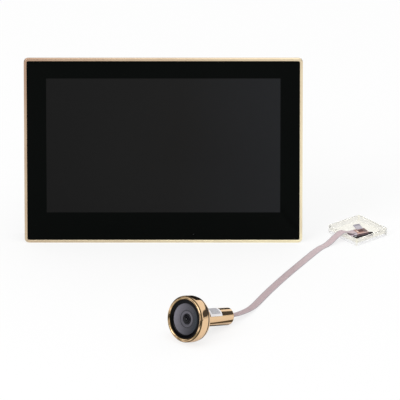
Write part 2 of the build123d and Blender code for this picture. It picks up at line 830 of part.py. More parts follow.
def label_patch(mode=Mode.ADD):
    """A thin curved patch on the barrel's upper side, turned towards the viewer."""
    turn = radians(label_turn - label_half_angle)
    radial = upward * cos(turn) + across * sin(turn)
    with BuildSketch(Plane(origin=camera_front, x_dir=radial,
                           z_dir=radial.cross(rearward))) as patch:
        with Locations((barrel_radius - label_thickness / 2, label_front + label_length / 2)):
            Rectangle(label_thickness, label_length)
    revolve(patch.sketch, axis=Axis(camera_front, -rearward),
            revolution_arc=2 * label_half_angle, mode=mode)


with BuildPart() as barrel_tube:
    turned([
        (barrel_bore, spigot_front),
        (spigot_radius, spigot_front),
        (spigot_radius, plate_back),
        (barrel_flange_radius, plate_back),
        (barrel_flange_radius, plate_back + barrel_flange),
        (barrel_radius, plate_back + barrel_flange),
        (barrel_radius, barrel_end),
        (barrel_bore, barrel_end),
    ])
    fillet(circle_edges(barrel_tube, barrel_radius, barrel_end), head_round)
    label_patch(mode=Mode.SUBTRACT)
barrel_tube.part.label = "barrel_tube"
export_step(barrel_tube.part, "parts/barrel_tube.step")

with BuildPart() as barrel_label:
    label_patch()
barrel_label.part.label = "barrel_label"
export_step(barrel_label.part, "parts/barrel_label.step")

grommet_back = barrel_end - grommet_inset
grommet_front = grommet_back - grommet_length
with BuildPart() as cable_grommet:
    ring(0, barrel_bore - turning_fit, grommet_front, grommet_back)
cable_grommet.part.label = "cable_grommet"
export_step(cable_grommet.part, "parts/cable_grommet.step")

# Ribbon cable: a flat strip, laid flat. Inside the barrel it runs straight.
ribbon_width = 5.6
ribbon_thickness = 0.3
with BuildPart() as inner_ribbon:
    with BuildSketch(Plane(origin=camera_front + rearward * gasket_back, x_dir=across,
                           z_dir=rearward)):
        Rectangle(ribbon_width, ribbon_thickness)
    extrude(amount=grommet_front - gasket_back)
inner_ribbon.part.label = "inner_ribbon"
export_step(inner_ribbon.part, "parts/inner_ribbon.step")

# Connector tray, turned to face the ribbon, and the connector lying in it
tray_centre = (125.7, 5.5)
tray_heading = 40.0
tray_size = (27.0, 29.0)
tray_height = 5.0
tray_side_wall = 0.9
tray_base = 1.8
tray_radius = 2.0
connector_offset = (-2.07, -3.93)
connector_heading = 27.0
connector_size = (13.6, 13.5)
connector_thickness = 0.6
contact_size = (4.8, 4.0)
contact_thickness = 0.15
contact_offset = (1.9, 2.55)
block_size = (14.2, 2.8)
block_height = 1.4
tab_size = (4.8, 6.2)
tab_thickness = 0.1
tab_lap = 1.5
tab_offset = 3.6


def level_plane(centre, heading, height):
    """A level plane at a height, over a centre and turned to a heading."""
    turn = radians(heading)
    return Plane(origin=(centre[0], centre[1], height),
                 x_dir=(cos(turn), sin(turn), 0), z_dir=(0, 0, 1))


def tray_plane(height):
    """The level plane over the tray's centre, turned with the tray."""
    return level_plane(tray_centre, tray_heading, height)


def connector_plane(height):
    """The level plane over the connector's centre, turned with the connector."""
    centre = tray_plane(height).from_local_coords(Vector(*connector_offset))
    return level_plane((centre.X, centre.Y), connector_heading, height)


connector_top = tray_base + connector_thickness
with BuildPart() as connector_tray:
    with BuildSketch(tray_plane(0)):
        RectangleRounded(tray_size[0], tray_size[1], tray_radius)
    extrude(amount=tray_height)
    with BuildSketch(tray_plane(tray_base)):
        RectangleRounded(tray_size[0] - 2 * tray_side_wall, tray_size[1] - 2 * tray_side_wall,
                         tray_radius - tray_side_wall)
    extrude(amount=tray_height, mode=Mode.SUBTRACT)
connector_tray.part.label = "connector_tray"
export_step(connector_tray.part, "parts/connector_tray.step")

with BuildPart() as connector_board:
    with BuildSketch(connector_plane(tray_base)):
        Rectangle(*connector_size)
    extrude(amount=connector_thickness)
connector_board.part.label = "connector_board"
export_step(connector_board.part, "parts/connector_board.step")

with BuildPart() as contact_plate:
    with BuildSketch(connector_plane(connector_top)):
        with Locations(contact_offset):
            Rectangle(*contact_size)
    extrude(amount=contact_thickness)
contact_plate.part.label = "contact_plate"
export_step(contact_plate.part, "parts/contact_plate.step")

with BuildPart() as connector_block:
    with BuildSketch(connector_plane(connector_top)):
        with Locations((0, (block_size[1] - connector_size[1]) / 2)):
            Rectangle(*block_size)
    extrude(amount=block_height)
connector_block.part.label = "connector_block"
export_step(connector_block.part, "parts/connector_block.step")

with BuildPart() as pull_tab:
    with BuildSketch(connector_plane(connector_top)):
        with Locations((tab_offset, (connector_size[1] + tab_size[1]) / 2 - tab_lap)):
            Rectangle(*tab_size)
    extrude(amount=tab_thickness)
pull_tab.part.label = "pull_tab"
export_step(pull_tab.part, "parts/pull_tab.step")

# Route of the free ribbon, from the barrel's end to the connector. Its points are the
# corners of straight runs. It drops to the floor, bends there, and climbs over the tray's
# wall. Each arc takes the same share of the shorter of its two runs. The first run is placed
# from the barrel's end, and the last from the tray's centre.
run_share = 0.45
exit_run = [
    (0.06, 0.075, 5.35),
    (4.66, 4.775, 3.5),
    (10.36, 10.675, 0.2),
    (16.26, 16.775, 0.2),
]
floor_run = [
    (61.2, -108.5, 0.2),
    (66.2, -87.5, 0.2),
    (78.6, -61.0, 0.2),
    (90.6, -38.5, 0.2),
]
tray_run = [
    (-24.95, -22.62, 0.2),
    (-19.9, -18.07, 0.2),
    (-12.1, -11.05, 5.65),
    (-8.54, -7.84, 5.65),
    (-5.0, -4.7, 2.55),
    (-2.0, -1.95, 2.55),
]
landing_count = 2
climb_count = 9
ribbon_start = camera_front + rearward * grommet_back
route = [
    *[Vector(ribbon_start.X + x, ribbon_start.Y + y, z) for x, y, z in exit_run],
    *[Vector(point) for point in floor_run],
    *[Vector(tray_centre[0] + x, tray_centre[1] + y, z) for x, y, z in tray_run],
]


def corner_radii(points):
    """The radius of the arc at each inner corner of a route."""
    radii = []
    for before, corner, after in zip(points, points[1:], points[2:]):
        into, out = corner - before, after - corner
        half_turn = radians(into.get_angle(out)) / 2
        radii.append(run_share * min(into.length, out.length) / tan(half_turn))
    return radii


def upright_stretch(points, radii):
    """A stretch that is straight in plan and rises or falls, as a strip laid flat."""
    start = Vector(points[0].X, points[0].Y, 0)
    ahead = (Vector(points[-1].X, points[-1].Y, 0) - start).normalized()
    side = Plane(origin=start, x_dir=ahead, z_dir=ahead.cross(Vector(0, 0, 1)))
    heights = [((point - start).dot(ahead), point.Z) for point in points]
    with BuildSketch(side) as strip:
        with BuildLine():
            FilletPolyline(*heights, radius=radii)
        trace(line_width=ribbon_thickness)
    extrude(strip.sketch, amount=ribbon_width / 2, both=True)


radii = corner_radii(route)
print("ribbon radii", [round(radius, 1) for radius in radii])
first_cut = (route[landing_count] + route[landing_count + 1]) / 2
last_cut = (route[climb_count - 1] + route[climb_count]) / 2
exit_points = [*route[:landing_count + 1], first_cut]
floor_points = [first_cut, *route[landing_count + 1:climb_count], last_cut]
tray_points = [last_cut, *route[climb_count:]]
floor_level = route[landing_count].Z - ribbon_thickness / 2
with BuildPart() as ribbon_cable:
    upright_stretch(exit_points, radii[:landing_count])
    with BuildSketch(Plane.XY.offset(floor_level)):
        with BuildLine():
            FilletPolyline(*[(point.X, point.Y) for point in floor_points],
                           radius=radii[landing_count:climb_count - 1])
        trace(line_width=ribbon_width)
    extrude(amount=ribbon_thickness)
    upright_stretch(tray_points, radii[climb_count - 1:])
ribbon_cable.part.label = "ribbon_cable"
export_step(ribbon_cable.part, "parts/ribbon_cable.step")

with BuildLine() as ribbon_line:
    FilletPolyline(*route, radius=radii)
ribbon_length = sum(edge.length for edge in ribbon_line.edges())
print("ribbon length", round(ribbon_length, 1))
print("ribbon volume", round(ribbon_cable.part.volume, 1), "section times length",
      round(ribbon_width * ribbon_thickness * ribbon_length, 1))
print("lens height", round(lens_height, 2), "resting tilt", round(degrees(rest_tilt), 2))
print("ribbon exit", ribbon_start)
print("ribbon route", [tuple(round(number, 3) for number in tuple(point)) for point in route])
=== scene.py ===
# %% [markdown]
# # Peephole door camera
# The set has two units. A flat indoor monitor stands on its bottom edge. The outdoor camera
# lies in front of it, with a polished head, a slim barrel and a flat ribbon that ends in a
# small connector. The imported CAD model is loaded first, because every piece is placed by it.

# %% Load the frame
from math import atan2, cos, degrees, pi, radians, sin

import bmesh
import bpy
from mathutils import Matrix, Vector


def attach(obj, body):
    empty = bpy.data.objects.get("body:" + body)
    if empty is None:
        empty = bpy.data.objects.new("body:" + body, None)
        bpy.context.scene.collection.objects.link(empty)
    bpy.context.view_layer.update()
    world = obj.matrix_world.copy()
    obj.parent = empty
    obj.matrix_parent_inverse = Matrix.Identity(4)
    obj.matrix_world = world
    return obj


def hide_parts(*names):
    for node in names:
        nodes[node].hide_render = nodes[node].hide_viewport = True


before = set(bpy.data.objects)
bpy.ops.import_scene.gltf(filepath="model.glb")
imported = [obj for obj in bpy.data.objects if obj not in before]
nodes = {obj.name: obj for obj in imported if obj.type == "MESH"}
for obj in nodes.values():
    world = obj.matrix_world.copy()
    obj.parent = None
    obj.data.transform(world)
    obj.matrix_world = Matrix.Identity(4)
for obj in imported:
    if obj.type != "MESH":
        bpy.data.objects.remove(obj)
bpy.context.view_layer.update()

# %% [markdown]
# Sizes below are in millimetres, as a maker would write them, and one factor turns them into
# Blender's metres. Operators act on whatever is selected, so each step starts from nothing
# selected, and then picks faces or edges by where they lie.

# %% Modelling helpers
MM = 0.001


def select_only(piece):
    bpy.ops.object.select_all(action="DESELECT")
    piece.select_set(True)
    bpy.context.view_layer.objects.active = piece


def start_piece(name, primitive, **settings):
    """Add a primitive with nothing else selected, and name it."""
    bpy.ops.object.select_all(action="DESELECT")
    primitive(**settings)
    piece = bpy.context.object
    piece.name = piece.data.name = name
    return piece


def edit(piece, on=True):
    if on:
        select_only(piece)
    bpy.ops.object.mode_set(mode="EDIT" if on else "OBJECT")


def pick(piece, kind, test):
    """In edit mode, select only the faces, edges or vertices that pass the test."""
    bpy.ops.mesh.select_mode(type={"faces": "FACE", "edges": "EDGE", "verts": "VERT"}[kind])
    bpy.ops.mesh.select_all(action="DESELECT")
    shape = bmesh.from_edit_mesh(piece.data)
    for item in getattr(shape, kind):
        if test(item):
            item.select_set(True)
    shape.select_flush_mode()
    bmesh.update_edit_mesh(piece.data)


def bevel(width, steps):
    """In edit mode, round the selected edges."""
    bpy.ops.mesh.bevel(offset=width * MM, offset_type="OFFSET", segments=steps, affect="EDGES")


def place(piece, matrix):
    """Put a piece where the matrix says, and leave its object at the origin."""
    piece.matrix_world = matrix
    select_only(piece)
    bpy.ops.object.transform_apply(location=True, rotation=True, scale=True)


def apply_modifier(piece, kind, **settings):
    modifier = piece.modifiers.new(kind.title(), kind)
    for key, value in settings.items():
        setattr(modifier, key, value)
    select_only(piece)
    bpy.ops.object.modifier_apply(modifier=modifier.name)


def smooth(piece, angle=35):
    select_only(piece)
    bpy.ops.object.shade_smooth_by_angle(angle=radians(angle))


def outward(piece):
    """Merge doubles and turn every face outwards."""
    edit(piece)
    bpy.ops.mesh.select_all(action="SELECT")
    bpy.ops.mesh.remove_doubles(threshold=0.0005 * MM)
    bpy.ops.mesh.normals_make_consistent(inside=False)
    edit(piece, False)


# %% [markdown]
# ## Shader maths
# A finish is a small graph of nodes. Written as Python expressions it stays readable, so a
# wire wraps a node's output, and adding or scaling wires adds the Math nodes.

# %% Finish helpers
def srgb(red, green, blue):
    """A colour as a paint chart gives it, turned into the shader's linear light."""
    linear = [c / 12.92 if c <= 0.04045 else ((c + 0.055) / 1.055) ** 2.4
              for c in (red / 255, green / 255, blue / 255)]
    return (*linear, 1)


class Wire:
    """An output of a node that can be used in a sum."""

    def __init__(self, finish, socket):
        self.finish, self.socket = finish, socket

    def maths(self, operation, *others):
        return self.finish.node("ShaderNodeMath", {"operation": operation}, (self, *others))

    def __add__(self, other):
        return self.maths("ADD", other)

    def __sub__(self, other):
        return self.maths("SUBTRACT", other)

    def __rsub__(self, other):
        return self.finish.node("ShaderNodeMath", {"operation": "SUBTRACT"}, (other, self))

    def __mul__(self, other):
        return self.maths("MULTIPLY", other)

    def __truediv__(self, other):
        return self.maths("DIVIDE", other)

    __radd__ = __add__
    __rmul__ = __mul__

    def sine(self):
        return self.maths("SINE")

    def size(self):
        return self.maths("ABSOLUTE")

    def clamped(self):
        return self.finish.node("ShaderNodeClamp", {}, (self, 0.0, 1.0))

    def over(self, level, softness=0.05):
        """Nought below the level and one above it, with a soft step."""
        return ((self - level) / softness + 0.5).clamped()

    def between(self, low, high, softness=0.05):
        return self.over(low, softness) * (1 - self.over(high, softness))


def reach(across, along):
    """How far a point is from the spot where both wires are nought."""
    return (across * across + along * along).maths("SQRT")


class Finish:
    """A procedural material, built on Blender's Principled shader."""

    def __init__(self, name, roughness=0.5, metallic=0.0, **constants):
        self.material = bpy.data.materials.new(name)
        self.material.use_nodes = True
        self.tree = self.material.node_tree
        self.shader = self.tree.nodes["Principled BSDF"]
        for socket, value in {"roughness": roughness, "metallic": metallic, **constants}.items():
            self.shader.inputs[socket.replace("_", " ").title().replace("Ior", "IOR")
                               ].default_value = value

    def node(self, kind, settings, inputs=(), output=0):
        """Any node: its settings first, then the values or wires of its sockets."""
        node = self.tree.nodes.new(kind)
        stops = settings.pop("stops", None)
        for key, value in settings.items():
            setattr(node, key, value)
        if stops:
            ramp = node.color_ramp.elements
            while len(ramp) < len(stops):
                ramp.new(0.5)
            for element, (position, colour) in zip(ramp, stops):
                element.position, element.color = position, colour
        pairs = inputs.items() if isinstance(inputs, dict) else enumerate(inputs)
        for key, value in pairs:
            self.link(value, node.inputs[key])
        return Wire(self, node.outputs[output])

    def link(self, value, socket):
        if isinstance(value, Wire):
            self.tree.links.new(value.socket, socket)
        else:
            socket.default_value = value

    def feed(self, **wires):
        """Join wires or values to the shader's own sockets."""
        for key, value in wires.items():
            self.link(value, self.shader.inputs[key.replace("_", " ").title()])
        return self

    def place(self, location=(0, 0, 0), rotation=(0, 0, 0), scale=(1, 1, 1)):
        """Object coordinates in millimetres, seen from a place and a turn on the object."""
        where = self.node("ShaderNodeTexCoord", {}, (), "Object")
        turned = self.node("ShaderNodeMapping", {"vector_type": "TEXTURE"},
                           {0: where, "Location": location, "Rotation": rotation})
        return self.node("ShaderNodeVectorMath", {"operation": "MULTIPLY"},
                         (turned, tuple(s / MM for s in scale)))

    def axes(self, point):
        split = self.tree.nodes.new("ShaderNodeSeparateXYZ")
        self.link(point, split.inputs[0])
        return [Wire(self, socket) for socket in split.outputs]

    def noise(self, point, scale, detail=2.0, roughness=0.5):
        """Smooth noise, about one blotch to each 1 / scale millimetres."""
        return self.node("ShaderNodeTexNoise", {}, {
            "Vector": point, "Scale": scale, "Detail": detail, "Roughness": roughness})

    def mix(self, factor, first, second):
        """A blend of two colours."""
        return self.node("ShaderNodeMix", {"data_type": "RGBA"},
                         {0: factor, 6: first, 7: second}, 2)

    def bump(self, height, depth=0.01, strength=1.0):
        """Relief of a depth in millimetres, joined to the shader's normal."""
        relief = self.node("ShaderNodeBump", {}, {
            "Strength": strength, "Distance": depth * MM, "Height": height})
        self.link(relief, self.shader.inputs["Normal"])
        return self


def speckled(name, first, second, scale, roughness, spread, depth=0.0, stretch=(1, 1, 1),
             at=((0, 0, 0), (0, 0, 0)), detail=4.0, metallic=0.0, **constants):
    """A finish whose colour, gloss and relief all follow one noise."""
    finish = Finish(name, roughness=roughness, metallic=metallic, **constants)
    speck = finish.noise(finish.place(*at, stretch), scale, detail)
    finish.feed(base_color=finish.mix(speck, srgb(*first), srgb(*second)),
                roughness=roughness + speck * spread)
    return finish.bump(speck, depth) if depth else finish


# %% [markdown]
# ## Sizes of the monitor
# The monitor stands with its middle over the origin. Depths are measured back from its front.

# %% Monitor sizes
monitor_width, monitor_height, monitor_depth = 179.4, 129.6, 17.0
front_y = -monitor_depth / 2
print("monitor", monitor_width, "by", monitor_height, "by", monitor_depth, "mm")

# %% [markdown]
# ## Where the camera unit lies
# The head and the barrel's end rest on the floor, which tips the lens a little up. Turned
# pieces are modelled upright about Z, with the front at zero and the back below it, and one
# matrix lays them down in their place.

# %% Camera unit matrix
head_radius, barrel_radius, barrel_end, head_depth, head_round = 15.0, 5.7, 41.6, 7.6, 0.8
rest_tilt = atan2(head_radius - barrel_radius, barrel_end - head_depth)
lens_height = (head_round + (head_radius - head_round) * cos(rest_tilt)
               + (head_depth - head_round) * sin(rest_tilt))
heading = radians(46)
level = Vector((cos(heading), sin(heading), 0))
rearward = level * cos(rest_tilt) - Vector((0, 0, sin(rest_tilt)))
upward = level * sin(rest_tilt) + Vector((0, 0, cos(rest_tilt)))
across = Vector((sin(heading), -cos(heading), 0))
lens_right, lens_ahead = 13.4, -163.3
lens_front = Vector((lens_right, lens_ahead, lens_height)) * MM
unit_axes = Matrix((across, upward, -rearward)).transposed().to_4x4()
unit_matrix = Matrix.Translation(lens_front) @ unit_axes
on_unit = (tuple(lens_front), tuple(unit_matrix.to_euler()))
print("lens height", round(lens_height, 2), "tilt", round(degrees(rest_tilt), 2))

# %% [markdown]
# Each new piece stands for a CAD piece, which is then hidden. It rides on the same body.


def stands_for(piece, body, node):
    """A piece rides on a body, in place of a CAD piece there, which is hidden."""
    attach(piece, body)
    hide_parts(node)


def finish_piece(piece, finish, matrix, body, node, angle=35):
    """Put a finished piece in its place, facing outwards, with its material."""
    place(piece, matrix)
    outward(piece)
    smooth(piece, angle)
    piece.data.materials.append(finish.material)
    stands_for(piece, body, node)
    print(piece.name, len(piece.data.polygons), "faces")


# %% [markdown]
# ## The photographer's camera
# The photograph looks down at the set from about 24 degrees, from far away, so the view is
# narrow and almost free of perspective.

# %% Camera
view_height = radians(24)
view_distance, view_limit, film_width = 8.5, 100, 36
picture_pixels, pixel_size = 400, 0.6455
picture_width = picture_pixels * pixel_size * MM
aim_right, aim_up = 23.6, 27.65
aim = Vector((aim_right * MM, front_y * MM, aim_up * MM / cos(view_height)))
lens_data = bpy.data.cameras.new("picture_camera")
camera = bpy.data.objects.new("picture_camera", lens_data)
bpy.context.scene.collection.objects.link(camera)
camera.location = aim + view_distance * Vector((0, -cos(view_height), sin(view_height)))
camera.rotation_euler = (pi / 2 - view_height, 0, 0)
lens_data.sensor_width = film_width
lens_data.lens = film_width * view_distance / picture_width
lens_data.clip_end = view_limit
bpy.context.scene.camera = camera
bpy.context.scene.view_settings.view_transform = "Standard"
print("camera at", tuple(round(v, 3) for v in camera.location))

# %% [markdown]
# ## Ribbon cable
# The ribbon is a flat flex, 5.6 mm wide and about 167 mm long. It leaves the barrel's end,
# drops to the floor and climbs over the tray's wall to its connector. A smooth spline that a
# few control points pull along gives the line, and a thin strip that is kept level follows it.
# A round bevel on the curve would look like a wire, so the strip is its own mesh.

# %% Ribbon line
ribbon_route = [
    (41.2, -134.5, 5.35), (44.6, -131.0, 4.2), (49.6, -125.2, 3.2), (54.2, -118.0, 2.0),
    (58.4, -108.5, 0.6), (66.4, -87.5, 0.2), (78.6, -61.0, 0.2), (90.0, -38.5, 0.2),
    (100.75, -17.12, 0.2), (105.8, -12.57, 0.2), (113.6, -5.55, 5.65), (117.16, -2.34, 5.65),
    (120.7, 0.8, 2.55), (123.7, 3.55, 2.55),
]
ribbon_curve = bpy.data.curves.new("ribbon_line", "CURVE")
ribbon_curve.dimensions = "3D"
spline = ribbon_curve.splines.new("NURBS")
spline.points.add(len(ribbon_route) - 1)
for control, spot in zip(spline.points, ribbon_route):
    control.co = (*[v * MM for v in spot], 1)
spline.order_u = 3
spline.use_endpoint_u = True
spline.resolution_u = 12
ribbon_line = bpy.data.objects.new("ribbon_line", ribbon_curve)
bpy.context.scene.collection.objects.link(ribbon_line)
line_mesh = bpy.data.meshes.new_from_object(ribbon_line)
ribbon_path = [v.co.copy() for v in line_mesh.vertices]
bpy.data.meshes.remove(line_mesh)
bpy.data.objects.remove(ribbon_line)
ribbon_length = sum((b - a).length for a, b in zip(ribbon_path, ribbon_path[1:]))
print("ribbon line", len(ribbon_path), "points,", round(ribbon_length / MM, 1), "mm")

# %% [markdown]
# The strip's section is a row of thin conductors under film, so its top and bottom have
# shallow waves, and its two edges are rounded and plain. The map along it lets the finish
# follow the bends.

# %% Ribbon strip
ribbon_width, ribbon_thick = 5.6, 0.3
conductors, wave_steps, wave_share, film_edge = 14, 4, 0.14, 0.5


def ribbon_section():
    """Points of (across, up) round the flat section, in millimetres."""
    half, deep = ribbon_width / 2, ribbon_thick / 2
    count = conductors * wave_steps
    top = []
    for step in range(count + 1):
        x = -half + film_edge + (ribbon_width - 2 * film_edge) * step / count
        top.append((x, deep * (1 - wave_share - wave_share * cos(2 * pi * step / wave_steps))))
    rim = [(-half, 0), (-half + 0.03, deep * 0.55), (-half + 0.12, deep * 0.72)]
    upper = rim + top + [(-x, y) for x, y in reversed(rim)]
    lower = [(x, -y) for x, y in reversed(upper[1:-1])]
    return upper + lower


def ribbon_mesh(name, path):
    section = ribbon_section()
    sides = len(section)
    shape = bmesh.new()
    layer = shape.loops.layers.uv.new("along")
    rings, lengths, run = [], [], 0.0
    for index, point in enumerate(path):
        before, after = path[max(index - 1, 0)], path[min(index + 1, len(path) - 1)]
        ahead = (after - before).normalized()
        side = Vector((ahead.y, -ahead.x, 0)).normalized()
        up = side.cross(ahead)
        rings.append([shape.verts.new(point + side * x * MM + up * y * MM) for x, y in section])
        run += (point - before).length
        lengths.append(run)
    for index, (ring, onward) in enumerate(zip(rings, rings[1:])):
        for step in range(sides):
            following = (step + 1) % sides
            face = shape.faces.new((ring[step], ring[following], onward[following], onward[step]))
            face.smooth = True
            spots = [(step, index), (following, index), (following, index + 1), (step, index + 1)]
            for loop, (place_across, place_along) in zip(face.loops, spots):
                loop[layer].uv = (section[place_across][0] / ribbon_width + 0.5,
                                  lengths[place_along] / MM / ribbon_width)
    for ring in (rings[0], rings[-1]):
        shape.faces.new(ring)
    bmesh.ops.recalc_face_normals(shape, faces=shape.faces)
    mesh = bpy.data.meshes.new(name)
    shape.to_mesh(mesh)
    shape.free()
    piece = bpy.data.objects.new(name, mesh)
    bpy.context.scene.collection.objects.link(piece)
    return piece


ribbon = ribbon_mesh("flat_ribbon", ribbon_path)
print("ribbon strip", len(ribbon.data.polygons), "faces")

# %% [markdown]
# Its film is a pinkish lavender grey. The conductors show through as faint lengthwise lines,
# and both edges, where there is film alone, are greyer.

# %% Ribbon finish
ribbon_film = Finish("ribbon_film", roughness=0.42, coat_weight=0.15, coat_roughness=0.3)
uv = ribbon_film.node("ShaderNodeUVMap", {"uv_map": "along"})
ribbon_u, _, _ = ribbon_film.axes(uv)
lines = (ribbon_u * (conductors * 2 * pi)).sine() * 0.5 + 0.5
edge = (ribbon_u - 0.5).size().over(0.43, 0.04)
mottle = ribbon_film.noise(uv, 3.0, 4.0)
film = ribbon_film.mix(lines, srgb(195, 174, 177), srgb(210, 191, 193))
film = ribbon_film.mix(mottle * 0.35, film, srgb(182, 164, 168))
ribbon_film.feed(base_color=ribbon_film.mix(edge, film, srgb(168, 165, 170)),
                 roughness=0.38 + mottle * 0.12)
ribbon.data.materials.append(ribbon_film.material)

# %% [markdown]
# ## Floor, lights and background
# The photograph is a plain white ground with soft light from all around, which is what a
# light tent gives. The world is that tent. Polished gold also needs something dark to
# reflect, or it looks like yellow paint. So the world shows dark cards, at the right, at the
# left and low behind the camera, and a dark line along the right horizon. Only reflections
# see them, and the light that falls on the pieces doesn't change.

# %% World
world = bpy.data.worlds.new("light_tent")
bpy.context.scene.world = world
world.use_nodes = True


class Backdrop(Finish):
    """The same helper on a world's or a floor's graph, which has no Principled shader."""

    def __init__(self, tree):
        self.tree = tree


sky = Backdrop(world.node_tree)
rays = world.node_tree.nodes.new("ShaderNodeLightPath")
direction = sky.node("ShaderNodeTexCoord", {}, (), "Generated")
sky_x, sky_y, sky_z = sky.axes(direction)
right_card = sky_x.over(0.62, 0.05) * sky_z.between(0.06, 0.36, 0.03) * sky_y.over(-0.05, 0.04)
left_card = (0 - sky_x).over(0.62, 0.06) * sky_z.between(-0.3, 0.36, 0.05) * sky_y.over(-0.45, 0.1)
low_band = sky_z.between(-0.02, 0.26, 0.04) * (0 - sky_y).over(0.3, 0.2)
horizon_line = sky_x.over(0.5, 0.1) * sky_z.between(-0.01, 0.025, 0.015)
glossy_light = (1.05 - right_card * 0.97 - left_card * 0.98 - low_band * 0.9
                - horizon_line * 0.6).maths("MAXIMUM", 0.03)
is_camera = Wire(sky, rays.outputs["Is Camera Ray"])
is_glossy = Wire(sky, rays.outputs["Is Glossy Ray"])
soft_light = 0.62
strength = is_camera + (1 - is_camera) * (is_glossy * glossy_light + (1 - is_glossy) * soft_light)
background = world.node_tree.nodes["Background"]
background.inputs["Color"].default_value = (1, 1, 1, 1)
sky.link(strength, background.inputs["Strength"])

# %% [markdown]
# Two large soft lamps, at the left and overhead, add the shadow's direction to the tent's even
# light. A lamp has to point at the set, so its turn is worked out from the two places.

# %% Lamps
def soft_lamp(name, place_at, aim_at, size, power):
    data = bpy.data.lights.new(name, "AREA")
    data.shape, data.size, data.size_y, data.energy = "RECTANGLE", size[0], size[1], power
    lamp = bpy.data.objects.new(name, data)
    bpy.context.scene.collection.objects.link(lamp)
    lamp.location = place_at
    lamp.rotation_euler = (Vector(aim_at) - Vector(place_at)).to_track_quat("-Z", "Y").to_euler()
    print(name, power, "W")


soft_lamp("left_softbox", (-1.5, -1.6, 1.8), (0, -0.05, 0.05), (1.4, 1.4), 24)
soft_lamp("top_softbox", (0.3, -0.3, 2.2), (0, -0.05, 0.0), (1.8, 1.8), 16)

# %% [markdown]
# The floor is a white sheet that keeps a faint shadow. A light path tells what kind of ray
# meets it: for the camera, for reflections and for light through the tray it glows a little,
# so it looks almost white. For reflections only, two dark strips are painted on it near the barrel:
# the one under it is painted shade that stands for its contact shadow, and the one at its right
# is a painted dark reflection. They draw the dark lines low on the polished gold.

# %% Floor
floor_size = 12
floor = start_piece("studio_floor", bpy.ops.mesh.primitive_plane_add, size=floor_size)
floor_paint = bpy.data.materials.new("studio_floor")
floor_paint.use_nodes = True
floor_tree = floor_paint.node_tree
floor_tree.nodes.clear()
paint = Backdrop(floor_tree)
floor_rays = floor_tree.nodes.new("ShaderNodeLightPath")
camera_ray, glossy_ray, through_ray = [Wire(paint, floor_rays.outputs[f"Is {kind} Ray"])
                                       for kind in ("Camera", "Glossy", "Transmission")]
lit = paint.node("ShaderNodeBsdfDiffuse", {}, {"Color": (0.94, 0.94, 0.94, 1)})
glow = paint.node("ShaderNodeEmission", {}, {"Color": (1, 1, 1, 1), "Strength": 1.0})
share = (camera_ray * 0.78 + glossy_ray * 0.35 + through_ray * 0.85).clamped()
mixed = paint.node("ShaderNodeMixShader", {}, (share, lit, glow))
behind, left_of, _ = paint.axes(paint.place((lens_front.x, lens_front.y, 0), (0, 0, heading)))
beside = 0 - left_of
# Painted shade seen only in reflections: a strip under the barrel for its contact shadow, and one
# at its right for a dark reflection.
reflected_shade = beside.between(5.6, 9.5, 0.4) + (1 - beside.over(2.4, 0.6))
reflected_shade = (reflected_shade * (1 - beside.size().over(12, 0.5)) * behind.between(8, 62, 1.5)).clamped()
dark = paint.node("ShaderNodeBsdfDiffuse", {}, {"Color": srgb(70, 60, 30)})
mixed = paint.node("ShaderNodeMixShader", {}, (glossy_ray * reflected_shade * 0.93, mixed, dark))
floor_out = floor_tree.nodes.new("ShaderNodeOutputMaterial")
paint.link(mixed, floor_out.inputs["Surface"])
floor.data.materials.append(floor_paint)

# %% [markdown]
# ## Metals
# The rim of the monitor is satin champagne gold. Its colour is painted darker and pinker at the
# top left and paler at the bottom right, as painted shade and painted light. The camera's head and
# barrel are the same gold, polished, with the fine rings that a lathe leaves. The two grooves
# beside the head's bead are painted dark as painted shade, and a few soft dark streaks round the
# bead are painted reflections.

# %% Gold finishes
rim_gold = Finish("champagne_satin", roughness=0.3, metallic=1.0)
spot = rim_gold.place()
cloud = rim_gold.noise(spot, 0.05, 3.0)
grain = rim_gold.noise(rim_gold.place(scale=(0.4, 6.0, 6.0)), 1.6, 3.0)
rim_x, _, rim_z = rim_gold.axes(spot)
# Painted light and shade: darker and pinker at the top left, paler at the bottom right, with a
# random tone from the noise.
rim_light_and_tone = (rim_x / monitor_width + 0.5) * 0.6 + (1 - rim_z / monitor_height) * 0.4
rim_light_and_tone = rim_light_and_tone + (cloud - 0.5) * 0.3
rim_gold.feed(base_color=rim_gold.mix(rim_light_and_tone.clamped(), srgb(182, 152, 130), srgb(254, 242, 206)),
              roughness=0.24 + grain * 0.14)
rim_gold.bump(grain, 0.004)

polished_gold = Finish("polished_champagne", roughness=0.06, metallic=1.0)
spot = polished_gold.place(*on_unit)
gold_x, gold_y, gold_z = polished_gold.axes(spot)
lathe = polished_gold.noise(polished_gold.node("ShaderNodeCombineXYZ", {}, (0.0, 0.0, gold_z)),
                            9.0, 2.0)
smear = polished_gold.noise(spot, 0.35, 4.0)
gold_reach = reach(gold_x, gold_y)
# Painted shade: the two grooves beside the bead are darkened.
groove_shade = gold_reach.between(14.3, 14.84, 0.12) * (0 - gold_z).between(0.25, 1.15, 0.1)
groove_shade = groove_shade + gold_reach.between(12.4, 12.85, 0.1) * (0 - gold_z).between(0.2, 1.2, 0.1)
gold = polished_gold.mix(smear, srgb(226, 189, 146), srgb(236, 203, 164))
around = gold_y.maths("ARCTAN2", gold_x)
# Painted reflections: soft dark streaks round the bead.
bead_reflections = polished_gold.noise(
    polished_gold.node("ShaderNodeCombineXYZ", {}, (around * 2.6, 0.0, gold_reach * 0.3)), 1.0, 3.0)
bead = gold_reach.between(12.85, 14.35, 0.1) * (1 - (0 - gold_z).over(0.6, 0.1))
gold = polished_gold.mix(bead * bead_reflections.over(0.48, 0.2) * 0.75, gold, srgb(98, 86, 52))
polished_gold.feed(base_color=polished_gold.mix(groove_shade * 0.92, gold, srgb(58, 46, 24)),
                   roughness=0.035 + smear * 0.05 + lathe * 0.03 + groove_shade * 0.2)
polished_gold.bump(lathe, 0.0008)

